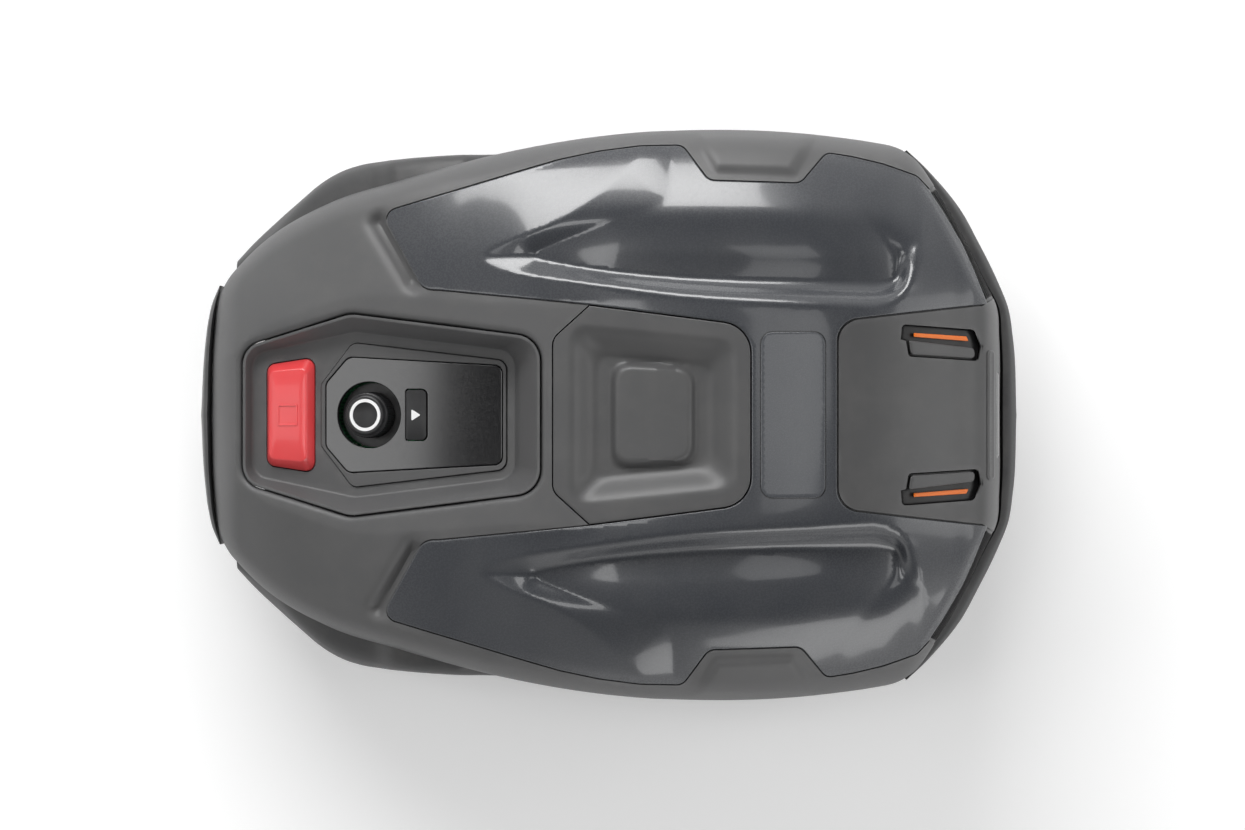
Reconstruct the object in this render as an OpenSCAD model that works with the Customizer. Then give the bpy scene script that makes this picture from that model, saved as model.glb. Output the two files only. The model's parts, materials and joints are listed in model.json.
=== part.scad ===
// Robotic lawn mower: a floating shell on a sprung chassis, two driven rear wheels, two casters
// and a height-adjusted blade disc. +X is forward, +Y is the mower's left, +Z is up, z = 0 is the lawn.

/* [Outer panels] */
// Thickness of the loose outer panels: top cover, nose cover and antenna hatch
panel_t = 3; // [2.4:0.1:3.4]
// Gap all round a loose panel, and under it
seam = 0.6; // [0.4:0.1:0.8]
// Distance from the outer skin to the inside of the main shell
shell_t = 13; // [12:0.5:15]
// Wall of the main shell's skirt
skirt_t = 4; // [3:0.5:5]
// Height of the skirt's lower edge above the lawn
skirt_z = 75; // [70:1:85]
// Inward slope of the skirt, measured at its lower edge
tuck = 5; // [0:0.5:8]
// Height of the accessory bay's floor above the lawn
bay_z = 231; // [229:1:234]
// Width of the rolled edge round the shell, seen from above
edge_w = 18; // [14:1:22]
// Height that the rolled edge drops
edge_drop = 30; // [24:1:34]
// Depth of the scoops in the top cover
scoop_d = 14; // [8:1:16]
// Height of the fender crests beside the scoops
crest_h = 6; // [3:1:8]
// Depth of the dish in the antenna hatch
dish_d = 14; // [8:1:18]
// Height of the raised pad in the dish
dish_pad_h = 6; // [2:1:8]
// Height of the grip pads over the cover's edge
grip_h = 2.4; // [1:0.2:3]
// Wall of the fenders, the bumper's lip and the rear plate
trim_t = 3; // [2:0.5:4]

/* [Control console] */
// Tilt of the console's floor towards the rear, in degrees
console_tilt = 14; // [12:0.5:16]
// Thickness of the console's floor and walls
console_t = 3; // [2:0.5:3.5]
// Height of the control module's frame over the floor
frame_h = 2.4; // [1.5:0.1:3]
// Height of the STOP button over the floor
stop_h = 8; // [6:0.5:10]
// Travel of the jog knob when it is pressed
key_travel = 1.2; // [0.8:0.1:1.4]
// Radius of the jog knob
knob_r = 18; // [16:0.5:20]
// Radius of the well round the jog knob
knob_well_r = 26; // [24:0.5:27]
// Height of the jog knob's top over the glass
knob_h = 9; // [6:0.5:11]
// Running gap round buttons and knob
key_gap = 0.5; // [0.3:0.1:0.7]

/* [Rear wheels] */
// Distance of the rear axle behind the frame's origin
rear_axle_x = 90; // [86:1:94]
// Outside radius of the rear tyre
tyre_r = 95; // [92:0.5:97]
// Width of the rear tyre
tyre_w = 44; // [38:1:46]
// Clearance between the chassis tub and the tyre
wheel_room = 11; // [9:0.5:12]
// Depth of the tread
tread_d = 8; // [5:0.5:10]
// Number of tread lugs in each of the two rows
lugs = 22; // [16:1:28]
// Height of the tyre over its rim
tyre_wall = 23; // [19:0.5:27]
// Number of rim spokes
spokes = 5; // [4:1:7]
// Radius of the drive shafts
drive_shaft_r = 6; // [5:0.5:7]
// Clearance from tyre to wheel well
well_gap = 8; // [6:0.5:9]

/* [Casters] */
// Distance of the caster pivots in front of the origin
caster_x = 190; // [186:1:194]
// Distance of the caster pivots from the centre line
caster_y = 135; // [132:1:138]
// Outside radius of the caster wheel
caster_r = 50; // [46:1:52]
// Width of the caster wheel
caster_w = 28; // [24:1:30]
// Distance that the wheel trails behind its pivot
caster_trail = 18; // [14:1:20]
// Radius of the pivot pin
pivot_r = 7; // [6:0.5:8]
// Radius of the caster axle
caster_axle_r = 4; // [3:0.5:5]
// Thickness of the fork's legs and crown
fork_t = 4; // [3:0.5:5]

/* [Cutting deck] */
// Distance of the blade shaft in front of the origin
deck_x = 40; // [37:1:43]
// Radius of the blade disc
disc_r = 85; // [82:1:88]
// Distance of the blade pivots from the disc's edge
pivot_edge = 9; // [8:0.5:13]
// Length of a blade from its pivot to its tip
blade_l = 34; // [30:1:36]
// Width of a blade
blade_w = 18; // [14:1:20]
// Thickness of a blade
blade_t = 0.8; // [0.6:0.1:1]
// Height of the blades above the lawn at the lowest setting
cut_z = 20; // [18:1:24]
// Radius of the skid plate under the disc
skid_r = 62; // [56:1:64]
// Radius of the blade motor's housing
motor_r = 40; // [36:1:42]
// Radius of the blade shaft
blade_shaft_r = 5; // [4:0.5:6]
// Radius of the height screw
screw_r = 6; // [5:0.5:7]
// Module of the height gears
gear_module = 1.5; // [1.4:0.1:1.6]
// Teeth of the drive pinion
pinion_teeth = 14; // [12:1:16]
// Teeth of the screw's gear
gear_teeth = 36; // [32:1:38]

/* [Chassis] */
// Height of the rear axle over the chassis floor
axle_drop = 33; // [29:1:35]
// Height of the lid's joint
lid_z = 150; // [148:1:152]
// Wall of the chassis tub and lid
tub_t = 4; // [3:0.5:5]
// Half width of the tub between the rear wheels
tub_half = 125; // [120:1:127]
// Radius of the blade disc's recess
recess_r = 121; // [118:1:123]
// Height of the recess's ceiling above the lawn
recess_z = 96; // [92:1:98]
// Half width of the keel between the casters
keel_half = 54; // [48:1:58]
// Radius of a suspension post
post_r = 7; // [6:0.5:8]
// Travel of the shell when it bumps into something, each way
bump_travel = 6; // [4:0.5:7]

/* [Hidden] */

run_gap = 0.05;    // radial clearance of a shaft that turns in its bore
air = 0.3;         // clearance between pieces that only pass each other
cut = 1;           // overrun of a cutting solid past the face that it cuts
arc_fn = 48;       // segments of a round piece
sky = 320;         // a height over the whole mower
bay_top = 262;     // a height inside the shell's skin, over the bay's walls
tyre_out = tub_half + wheel_room + tyre_w; // from the centre line to the tyre's outer face
rim_r = tyre_r - tyre_wall;                // radius of the rim under the tyre
floor_z = tyre_r - axle_drop;              // height of the chassis floor above the lawn
blade_pivot_r = disc_r - pivot_edge;       // radius at which the blades pivot

// ---- Curves ----
function clamp01(t) = min(1, max(0, t));
function mix(a, b, t) = a + (b - a) * t;
function smooth(a, b, x) = let (t = clamp01((x - a) / (b - a))) t * t * (3 - 2 * t);
function span(table, x, i = 0) = (i >= len(table) - 2 || x < table[i + 1][0]) ? i : span(table, x, i + 1);
function catmull(p0, p1, p2, p3, t) =
  0.5 * (2 * p1 + (p2 - p0) * t + (2 * p0 - 5 * p1 + 4 * p2 - p3) * t * t + (3 * p1 - p0 - 3 * p2 + p3) * t * t * t);
// Smooth curve through the rows [x, value] of a table, held level past its ends.
function curve(table, x) =
  let (i = span(table, x), last = len(table) - 1,
    t = clamp01((x - table[i][0]) / (table[i + 1][0] - table[i][0])))
  catmull(table[max(0, i - 1)][1], table[i][1], table[i + 1][1], table[min(last, i + 2)][1], t);
// Straight lines through the rows of a table.
function line(table, x) =
  let (i = span(table, x), t = clamp01((x - table[i][0]) / (table[i + 1][0] - table[i][0])))
  mix(table[i][1], table[i + 1][1], t);

// ---- Plan outlines, half widths and heights of the skin ----
rear_corner = [-310, 106];
front_corner = [236, 211];
side_curve = [rear_corner, [-280, 135.5], [-221, 168.5], [-165, 184.5], [-78, 206.5], [-6, 218.5],
  [74, 223.8],
  [153, 221.5], [192, 217.5], front_corner];
front_curve = [[0, 309], [60, 308.5], [86, 306], [106, 295], [137, 280], [168, 264], [182, 256], [198, 246],
  [front_corner.y, front_corner.x]];
rear_curve = [[0, -319], [60, -317], [88, -314], [rear_corner.y, rear_corner.x]];
rim_plane = [-287, 178, 0.352]; // the rim of the control well: x, z there and its slope
function rim_z(x) = rim_plane[1] + rim_plane[2] * (x - rim_plane[0]);
centre_curve = [[-319, 138], [-306, 158], [-293, 175], [-287, rim_z(-287)], [-200, rim_z(-200)],
  [-120, rim_z(-120)],
  [-51, rim_z(-51)], [0, 269], [60, 274], [120, 275], [170, 272], [220, 260], [265, 241], [292, 226],
    [309, 205]];
shoulder_curve = [[-319, 136], [-280, 150], [-220, 178], [-150, 204], [-90, 213], [0, 218], [80, 218],
  [160, 212], [220, 200], [255, 188], [309, 176]];
plateau_curve = [[-319, 40], [-290, 52], [-277, 63], [-240, 79], [-200, 91], [-150, 91], [-98, 86], [-40, 83],
  [70, 78], [110, 74], [180, 64], [309, 52]];
crest_curve = [[-90, 112], [-60, 120], [0, 143], [56, 160], [100, 163], [309, 163]];
valley_curve = [[-90, 110], [-60, 116], [0, 112], [72, 105], [309, 100]];
spine_curve = [[-90, 108], [-60, 112], [0, 101], [72, 89], [309, 84]];

function crown(x, a) =
  let (w = curve(side_curve, x), p = line(plateau_curve, x), t = clamp01((a - p) / (w - p)),
       crease = 1 - smooth(-90, 10, x), zc = curve(centre_curve, x), zs = curve(shoulder_curve, x))
  zc - (zc - zs) * mix(t * t, t * (0.7 + 0.3 * t), crease);
function edge_distance(x, a) =
  min(0.92 * (curve(side_curve, x) - a), curve(front_curve, a) - x, x - curve(rear_curve, a));
function rolled(e) = let (t = clamp01(1 - e / edge_w)) edge_drop * (1 - sqrt(1 - t * t));
scoop_rear = [-85, 30];    // the scoops deepen over this stretch
scoop_front = [226, 250];  // and end over this one
function scoop(x, a) =
  let (v = curve(valley_curve, x), c = curve(crest_curve, x), s = curve(spine_curve, x),
       run = smooth(scoop_rear.x, scoop_rear.y, x) * (1 - smooth(scoop_front.x, scoop_front.y, x)))
  run * (scoop_d * (a < v ? smooth(s, v, a) : 1 - smooth(v - 12, c + 6, a))
    - crest_h * exp(-pow((a - c) / 17, 2)));
function box_distance(x, a, x0, x1, a1) = min(x - x0, x1 - x, a1 - a);
function dish(x, a) =
  dish_d * smooth(0, 24, box_distance(x, a, -30, 100, 71 - 0.1 * (x + 30)))
  - dish_pad_h * smooth(0, 6, box_distance(x, a, 2, 69, 42 - 0.05 * x));
// Height of the finished skin over any point of the plan.
function skin_z(x, y) = let (a = abs(y)) crown(x, a) - rolled(edge_distance(x, a)) - scoop(x, a) - dish(x, a);
function inner_z(x, y) = let (a = abs(y))
  crown(x, a) - rolled(edge_distance(x, a)) - 0.8 * max(0, scoop(x, a));

// ---- The grid that all skin pieces share ----
// Its lines run along the skin's own features: v = 1 is the plateau's edge, 2 the scoops' valley,
// 3 the fender crests and 4 the side outline. u runs over a rear zone, a middle and a front zone.
mid_rear = -200;
mid_front = 215;
valley_line = [[-319, 60], [-280, 84], [-223, 104], [-150, 112], [-60, 116], [0, 112], [72, 105], [309, 100]];
crest_line = [[-319, 84], [-280, 110], [-223, 134], [-150, 140], [-60, 132], [0, 145], [56, 160], [100, 163],
  [309, 160]];
u_rear = [0, 0.06, 0.14, 0.26, 0.48, 0.74];
u_middle = [1, 1.1, 1.2, 1.27, 1.33, 1.39, 1.45, 1.52, 1.6, 1.68, 1.76, 1.84, 1.92];
u_front = [2, 2.13, 2.25, 2.37, 2.5, 2.66, 2.8, 2.92, 3];
u_lines = concat(u_rear, u_middle, u_front);
v_half = [0, 0.5, 1, 1.3, 1.6, 1.8, 2, 2.25, 2.5, 2.75, 3, 3.35, 3.7, 3.84, 3.94, 4];
function both_ways(half) = concat([for (i = [len(half) - 1:-1:1]) -half[i]], half);
v_lines = both_ways(v_half);
coarse_u = [0, 0.3, 0.65, 1, 1.25, 1.5, 1.75, 2, 2.3, 2.65, 3];
coarse_v = both_ways([0, 1, 2, 3, 3.6, 4]);

function feature_line(v, x) =
  let (stops = [0, line(plateau_curve, x), line(valley_line, x), line(crest_line, x), curve(side_curve, x)],
       k = min(3, floor(v)))
  mix(stops[k], stops[k + 1], v - k);
function plan_half(u, v) =
  u < 1 ? let (x = mix(rear_corner.x, mid_rear, u))
    [mix(curve(rear_curve, feature_line(v, rear_corner.x)), mid_rear, u), feature_line(v, x)]
  : u < 2 ? let (x = mix(mid_rear, mid_front, u - 1)) [x, feature_line(v, x)]
  : let (x = mix(mid_front, front_corner.x, u - 2))
    [mix(mid_front, curve(front_curve, feature_line(v, front_corner.x)), u - 2), feature_line(v, x)];
// A plan point, drawn in from the outline by a share of its distance from the middle.
function plan(u, v, inset = 0) =
  let (p = plan_half(u, abs(v)), k = inset / 200) [p.x * (1 - k * 0.66), sign(v) * p.y * (1 - k)];
// Closed solid between an upper and a lower sheet of points, each nu by nv cells.
module between(top, low, nu, nv) {
  n = nv + 1;
  o = n * (nu + 1);
  faces = concat(
    [for (i = [0:nu - 1], j = [0:nv - 1]) let (a = i * n + j) each j < nv / 2
      ? [[a, a + 1, a + n + 1], [a, a + n + 1, a + n]] : [[a, a + 1, a + n], [a + 1, a + n + 1, a + n]]],
    [for (i = [0:nu - 1], j = [0:nv - 1]) let (a = i * n + j + o) each j < nv / 2
      ? [[a, a + n + 1, a + 1], [a, a + n, a + n + 1]] : [[a, a + n, a + 1], [a + 1, a + n, a + n + 1]]],
    [for (i = [0:nu - 1]) let (a = i * n) each [[a, a + n, a + n + o], [a, a + n + o, a + o]]],
    [for (i = [0:nu - 1]) let (a = i * n + nv) each [[a, a + o, a + n + o], [a, a + n + o, a + n]]],
    [for (j = [0:nv - 1]) each [[j, j + o, j + 1 + o], [j, j + 1 + o, j + 1]]],
    [for (j = [0:nv - 1]) let (a = nu * n + j) each [[a, a + 1, a + 1 + o], [a, a + 1 + o, a + o]]]);
  polyhedron(concat(top, low), faces, convexity = 8);
}
function lift(points, d) = [for (p = points) [p.x, p.y, skin_z(p.x, p.y) + d]];
// The skin from d1 over it down to d2, over the stretch of the grid that a panel needs.
module skin(d1, d2, us, vs) {
  points = [for (u = us, v = vs) plan(u, v)];
  between(lift(points, d1), lift(points, d2), len(us) - 1, len(vs) - 1);
}
// The same over a plain rectangle of nx by ny cells, for small panels.
module skin_patch(d1, d2, from, to, nx, ny) {
  points = [for (i = [0:nx], j = [0:ny]) [mix(from.x, to.x, i / nx), mix(from.y, to.y, j / ny)]];
  between(lift(points, d1), lift(points, d2), nx, ny);
}

// ---- Outlines with rounded corners ----
// A corner [x, y, r] becomes an arc that is tangent to both of its sides.
function unit(v) = v / norm(v);
function corner_arc(a, b, c, r, n = 4) =
  r <= 0 ? [[b.x, b.y]] :
  let (p = [b.x, b.y], u1 = unit([a.x, a.y] - p), u2 = unit([c.x, c.y] - p),
       half = acos(max(-1, min(1, u1 * u2))) / 2, reach = r / tan(half),
       mid = p + unit(u1 + u2) * r / sin(half), s = p + u1 * reach - mid, e = p + u2 * reach - mid,
       a0 = atan2(s.y, s.x), turn = atan2(s.x * e.y - s.y * e.x, s * e))
  [for (k = [0:n]) mid + r * [cos(a0 + turn * k / n), sin(a0 + turn * k / n)]];
function rounded(corners, n = 4) =
  [for (i = [0:len(corners) - 1])
    let (m = len(corners), c = corners[i]) each
      corner_arc(corners[(i + m - 1) % m], c, corners[(i + 1) % m], len(c) > 2 ? c[2] : 0, n)];
// A half outline on the +Y side, from front to rear, closed by its mirror image.
function mirrored(half) = concat(half,
  [for (i = [len(half) - 1:-1:0]) [half[i].x, -half[i].y, len(half[i]) > 2 ? half[i][2] : 0]]);
module column(outline, low, high) translate([0, 0, low]) linear_extrude(high - low) polygon(outline);
// An outline moved outwards by d, point by point, so that its column stays exact.
function turn_in(p, q, r, d) =
  let (e1 = unit(q - p), e2 = unit(r - q), n1 = [e1.y, -e1.x], n2 = [e2.y, -e2.x], n = unit(n1 + n2))
  q + n * d / max(0.3, n * n1);
function area2(o) = let (m = len(o))
  [for (i = [0:m - 1]) o[i].x * o[(i + 1) % m].y - o[(i + 1) % m].x * o[i].y] * [for (i = [0:m - 1]) 1];
function clean(o) = [for (i = [0:len(o) - 1]) if (norm(o[i] - o[(i + 1) % len(o)]) > 0.01) o[i]];
function grown(outline, d) =
  let (o = clean(outline), m = len(o), s = area2(o) > 0 ? d : -d)
  [for (i = [0:m - 1]) turn_in(o[(i + m - 1) % m], o[i], o[(i + 1) % m], s)];

bridge_rear = [110, 68.4];       // where the cover's spine edge turns across the bridge
bridge_rear_end = [-13, 84.2];   // where the hatch's slanted rear edge starts
cover_half = [[175, 72, 18], [295, 86], [284, 113.5], [276, 132], [261, 158.5], [250, 176], [241, 185.5, 8],
  [214, 194.5], [190, 200], [170, 203, 8], [149, 178, 10], [78, 180, 10], [58, 208.5, 9], [25, 207.5],
    [-6, 203.5],
  [-37, 197], [-100, 179], [-176, 157.5, 9], [-142, 97, 14], [-129, 96.5], [-82, 91.5], bridge_rear_end,
  [bridge_rear.x, bridge_rear.y, 24]];
cover_outline = rounded(mirrored(cover_half));
hatch_outline = rounded(mirrored([[bridge_rear.x - seam, bridge_rear.y - 1.15 * seam, 24 - seam],
  [bridge_rear_end.x, bridge_rear_end.y - 1.15 * seam], [-41, 58, 12]]));
nose_outline = rounded(mirrored([[330, 87], [304, 86.5], [295, 85.5], [175.5, 71.5, 18]]));
rim_outline = rounded(mirrored([[-51, 59, 20], [-200, 78.5, 26], [-287, 53, 18]]));
label_outline = rounded(mirrored([[166, 63, 9], [117, 63, 9]]));
light_outline = rounded([[226, 69, 3], [283, 65.5, 4], [288, 53], [286, 42, 3], [231, 45, 3], [229, 57],
  [225, 58]]);
vent_outer = [[254.5, 181], [263, 172], [275, 154], [286.5, 132], [296.5, 108], [303.5, 88]];
vent_inner = [[295, 88], [284, 113.5], [276, 132], [261, 158.5], [250.5, 176]];
vent_outline = concat(vent_outer, vent_inner);
bay_wall = 5; // outer face of the accessory bay's walls beyond the hatch
grip_corners = [[168, 222], [145, 183.5, 6], [82, 185.5, 6], [63, 222]];

module both_sides() {
  children();
  mirror([0, 1, 0]) children();
}
module ring(outer, inner, h) difference() {
  cylinder(r = outer, h = h, $fn = arc_fn);
  translate([0, 0, -cut]) cylinder(r = inner, h = h + 2 * cut, $fn = arc_fn);
}

// ---- Main shell ----
post_places = [[-218, 93], [204, 64]];
socket_r = post_r + 4;
socket_l = 14;
cell_u = len(u_lines) - 1;
cell_v = len(v_lines) - 1;
// The wheel well clears the tyre all round while the shell moves on its posts.
module wheel_wells() both_sides() translate([-rear_axle_x, tyre_out - tyre_w - well_gap, tyre_r])
  rotate([-90, 0, 0]) cylinder(r = tyre_r + well_gap, h = tyre_w + well_gap + bump_travel + 2, $fn = 96);
// The arch that is open to the side is lower than the tyre, so the fender hides the tyre's top.
arch_h = 62;
module arch_opening() both_sides() translate([-rear_axle_x, tyre_out - tyre_w, 0]) rotate([90, 0, 0])
  mirror([0, 0, 1])
  linear_extrude(120) polygon(concat([for (a = [0:9:180])
    [(tyre_r + well_gap) * cos(a), tyre_r + arch_h * sin(a)]],
    [[-tyre_r - well_gap - 6, -cut], [tyre_r + well_gap + 6, -cut]]));
module shell_block() between([for (u = u_lines, v = v_lines) let (p = plan(u, v))
  [p.x, p.y, skin_z(p.x, p.y)]],
  [for (u = u_lines, v = v_lines) let (p = plan(u, v, tuck)) [p.x, p.y, skirt_z]], cell_u, cell_v);
module shell_inside() between(
  [for (u = coarse_u, v = coarse_v) let (p = plan(u, v, skirt_t)) [p.x, p.y, inner_z(p.x, p.y) - shell_t]],
  [for (u = coarse_u, v = coarse_v) let (p = plan(u, v, skirt_t + tuck)) [p.x, p.y, skirt_z - cut]],
  len(coarse_u) - 1, len(coarse_v) - 1);
module panel_space() skin(60, -panel_t - seam, [for (u = u_lines) if (u > 0.9) u], v_lines);
module grip_pads() both_sides() intersection() {
  skin_patch(grip_h, -panel_t - 2, [57, 176], [173, 213], 6, 3);
  column(rounded(grip_corners), 150, sky);
}
// The accessory bay hangs from the shell's inner face, round its opening.
module bay_tray() color("#4f4f50") intersection() {
  difference() {
    column(grown(hatch_outline, bay_wall), bay_z - panel_t, bay_top);
    column(grown(hatch_outline, seam), bay_z, sky);
  }
  shell_inside();
}
module shell_openings() {
  column(grown(rim_outline, seam), skirt_z, sky);
  column(grown(hatch_outline, seam), skirt_z, sky);
  both_sides() column(grown(light_outline, seam), skirt_z, sky);
}
module main_shell() color("#5a5a5b") difference() {
  union() {
    difference() {
      shell_block();
      shell_inside();
      intersection() {
        panel_space();
        union() {
          column(grown(cover_outline, seam), 0, sky);
          column(grown(nose_outline, seam), 0, sky);
          both_sides() column(vent_outline, 0, sky);
        }
      }
      shell_openings();
      fender_space();
      wheel_wells();
      arch_opening();
    }
    grip_pads();
    for (p = post_places, s = [-1, 1]) translate([p.x, s * p.y, post_top(p) - socket_l])
      cylinder(r = socket_r, h = socket_l + 14, $fn = arc_fn);
  }
  for (p = post_places, s = [-1, 1]) translate([p.x, s * p.y, post_top(p) - socket_l - cut])
    cylinder(r = post_r + air, h = socket_l + 2 * cut, $fn = arc_fn);
}

// ---- Fenders over the rear wheels ----
fender_top_curve = [[-300, 123], [-277, 139], [-245, 169.5], [-229, 181.5], [-213, 189], [-181, 197],
  [-149, 201.5],
  [-110, 204.5], [-70, 206]];
fender_out_curve = [[-300, 126], [-291, 136], [-263, 161.5], [-247, 174.5], [-231, 187], [-215, 196],
  [-199, 201],
  [-166, 204], [-118, 206.3], [-70, 207]];
fender_x = [-70, -90, -110, -130, -149, -165, -181, -199, -215, -231, -247, -263, -277, -291, -300];
function fender_z(x) = curve(shoulder_curve, x) - edge_drop - 5;
// A solid lofted through the profiles of a list of stations, each profile a ring of as many points.
module loft(rings) {
  m = len(rings[0]);
  n = len(rings);
  polyhedron([for (ring = rings) each ring], concat(
    [[for (k = [m - 1:-1:0]) k]],
    [for (i = [0:n - 2], k = [0:m - 1]) [i * m + k, i * m + (k + 1) % m, (i + 1) * m + k]],
    [for (i = [0:n - 2], k = [0:m - 1]) [i * m + (k + 1) % m, (i + 1) * m + (k + 1) % m, (i + 1) * m + k]],
    [[for (k = [0:m - 1]) (n - 1) * m + k]]), convexity = 6);
}
fender_low = skirt_z + 4;
function fender_ring(x) =
  let (w = curve(side_curve, x) - 8, t = line(fender_top_curve, x), o = line(fender_out_curve, x),
    z = fender_z(x),
       brow = max(z - 22, mix(z, fender_low, 0.6)))
  [[x, w, z], [x, t, z - 6], [x, o, brow], [x, o - 1, fender_low], [x, o - 1 - trim_t, fender_low],
   [x, o - trim_t, brow], [x, min(t, o - trim_t) - 1, z - 6 - trim_t], [x, w, z - trim_t]];
function fender_space_ring(x) =
  let (w = curve(side_curve, x) - 14, z = fender_z(x) + air) [[x, w, z], [x, 260, z], [x, 260, 0], [x, w, 0]];
module fender_space() both_sides() loft([for (i = [len(fender_x) - 1:-1:0]) fender_space_ring(fender_x[i])]);
module fenders() color("#434344") both_sides() difference() {
  loft([for (x = fender_x) fender_ring(x)]);
  arch_opening();
  wheel_wells();
}

// ---- Front bumper and rear plate ----
bumper_out_curve = [[0, 329], [60, 326], [88, 321], [104, 315], [138, 298.5], [167, 282.5], [187, 266],
  [203, 249],
  [210, 238.5]];
bumper_z = 172; // height of the bumper's upper edge
bumper_y = [0, 60, 86, 106, 137, 153, 168, 182, 190, 198, 205, 210];
all_bumper_y = concat([for (i = [len(bumper_y) - 1:-1:1]) -bumper_y[i]], bumper_y);
function bumper_ring(y) =
  let (a = abs(y), i = curve(front_curve, a) + air, o = max(i + 1, curve(bumper_out_curve, a)), d = o - i,
       z = bumper_z - 14 * smooth(120, 210, a))
  [[i, y, z], [i + 0.45 * d, y, z - 2], [i + 0.8 * d, y, z - 20], [o, y, 118], [o - 0.2 * d, y, 84],
   [i + 0.2 * d, y, skirt_z - 8], [i, y, skirt_z - 8]];
module front_bumper() color("#2f2f30") loft([for (y = all_bumper_y) bumper_ring(y)]);
plate_out_curve = [[0, -329], [52, -326], [76, -323], [92, -319.5], [104, -313.5]];
plate_z = 128; // height of the rear plate's upper edge
plate_y = [-104, -99, -92, -76, -52, -26, 0, 26, 52, 76, 92, 99, 104];
function plate_ring(y) =
  let (a = abs(y), i = curve(rear_curve, a) - air, o = min(i - 1, curve(plate_out_curve, a)),
       z = plate_z - 8 * smooth(70, 104, a))
  [[i, y, z], [i, y, skirt_z + 4], [mix(i, o, 0.7), y, skirt_z + 4], [o, y, skirt_z + 14], [o, y, z - 24],
   [mix(i, o, 0.6), y, z - 2]];
module rear_plate() color("#6c6c6d") loft([for (y = plate_y) plate_ring(y)]);

// ---- Loose panels ----
module top_cover() color("#53555a") difference() {
  intersection() {
    skin(0, -panel_t, [for (u = u_lines) if (u > 0.9) u], v_lines);
    column(cover_outline, 100, sky);
  }
  intersection() {
    skin_patch(cut, -label_t, [105, -70], [178, 70], 3, 4);
    column(grown(label_outline, seam / 2), 200, sky);
  }
}
label_t = 1.2;
module label_plate() color("#4a4c51") intersection() {
  skin_patch(-0.1, -label_t, [105, -70], [178, 70], 3, 4);
  column(label_outline, 200, sky);
}
module nose_cover() color("#515152") difference() {
  intersection() {
    skin(0, -panel_t, [for (u = u_lines) if (u > 1.8) u], [for (v = v_lines) if (abs(v) < 1.7) v]);
    column(nose_outline, 100, sky);
  }
  both_sides() column(grown(light_outline, seam / 2), 150, sky);
}
module antenna_hatch() color("#565657") intersection() {
  skin_patch(0, -panel_t, [-44, -88], [114, 88], 14, 16);
  column(hatch_outline, 150, sky);
}
hood_corners = [[231, 57, 1], [283, 51.5, 3], [284.3, 43.6, 3], [232.5, 46.4, 3]];
module light_body(top, low) skin_patch(top, low, [220, 36], [294, 76], 4, 2);
module headlights() color("#3d3d3e") both_sides() {
  intersection() {
    light_body(-6, -9);
    column(light_outline, 150, sky);
  }
  intersection() {
    light_body(1, -6.5);
    column(rounded(hood_corners), 150, sky);
  }
}
module light_strips() color("#f07a1e") both_sides() intersection() {
  light_body(-2, -6);
  column(rounded([[235, 62.8, 0.5], [277, 60.6, 0.5], [279, 57, 0.5], [235, 59.8, 0.5]]), 150, sky);
}
function strip(t0, t1) = concat([for (p = [0:4]) mix(vent_inner[4 - p], vent_outer[p], t0)],
  [for (p = [4:-1:0]) mix(vent_inner[4 - p], vent_outer[p], t1)]);
module vent_trims() color("#262627") both_sides() intersection() {
  skin(-0.4, -panel_t, [for (u = u_lines) if (u > 2.2) u], [for (v = v_lines) if (v > 1.4 && v < 3.5) v]);
  for (t = [[0.04, 0.18], [0.3, 0.46], [0.6, 0.76]]) column(strip(t[0], t[1]), 120, sky);
}

// ---- Control console, in a frame that lies on its tilted floor ----
console_place = [-170, 0, 196];
module on_console() translate(console_place) rotate([0, -console_tilt, 0]) children();
floor_outline = rounded(mirrored([[103, 50, 15], [-28, 66, 24], [-114, 49, 15]]), 4);
frame_outline = rounded(mirrored([[95, 42, 8], [-30, 56.5, 8], [-56, 24, 6]]));
glass_outline = rounded(mirrored([[91.5, 38, 6], [-34, 45.5, 8], [-53, 26, 8]]));
stop_outline = rounded(mirrored([[-62, 45, 7], [-101, 39.5, 7]]));
stop_top_outline = rounded(mirrored([[-66, 37, 5], [-97, 34.5, 5]]));
start_outline = rounded(mirrored([[30.5, 19.5, 4], [14, 19.5, 2]]));
knob_x = -16.5;
glass_t = 1.8;
module console_solid(t) hull() {
  translate([0, 0, rim_z(0) + (t > 0 ? 3 : -0.6)])
    multmatrix([[1, 0, 0, 0], [0, 1, 0, 0], [rim_plane[2], 0, 1, 0]])
    translate([0, 0, -1]) linear_extrude(1) polygon(grown(rim_outline, -t));
  on_console() translate([0, 0, t > 0 ? 0 : -console_t]) linear_extrude(0.5)
    polygon(grown(floor_outline, t > 0 ? 0 : console_t - 0.5));
}
module key_openings(grow) {
  translate([0, 0, -20]) linear_extrude(60) polygon(grown(stop_outline, grow));
  translate([0, 0, -20]) linear_extrude(60) polygon(grown(start_outline, grow));
}
module control_console() color("#626263") {
  console_bowl();
  on_console() for (p = board_bosses, s = [-1, 1]) translate([p.x, s * p.y, board_z + board_t])
    cylinder(r = 4, h = -console_t / 2 - board_z - board_t, $fn = arc_fn);
}
module console_bowl() difference() {
  console_solid(0);
  console_solid(console_t - 0.5);
  on_console() {
    key_openings(key_gap);
    translate([knob_x, 0, -20]) cylinder(r = knob_well_r, h = 60, $fn = 64);
  }
}
module module_frame() color("#5e5e5f") on_console() difference() {
  translate([0, 0, 0.7]) linear_extrude(frame_h) polygon(frame_outline);
  translate([0, 0, -cut]) linear_extrude(frame_h + 4) polygon(grown(glass_outline, seam));
}
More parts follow.
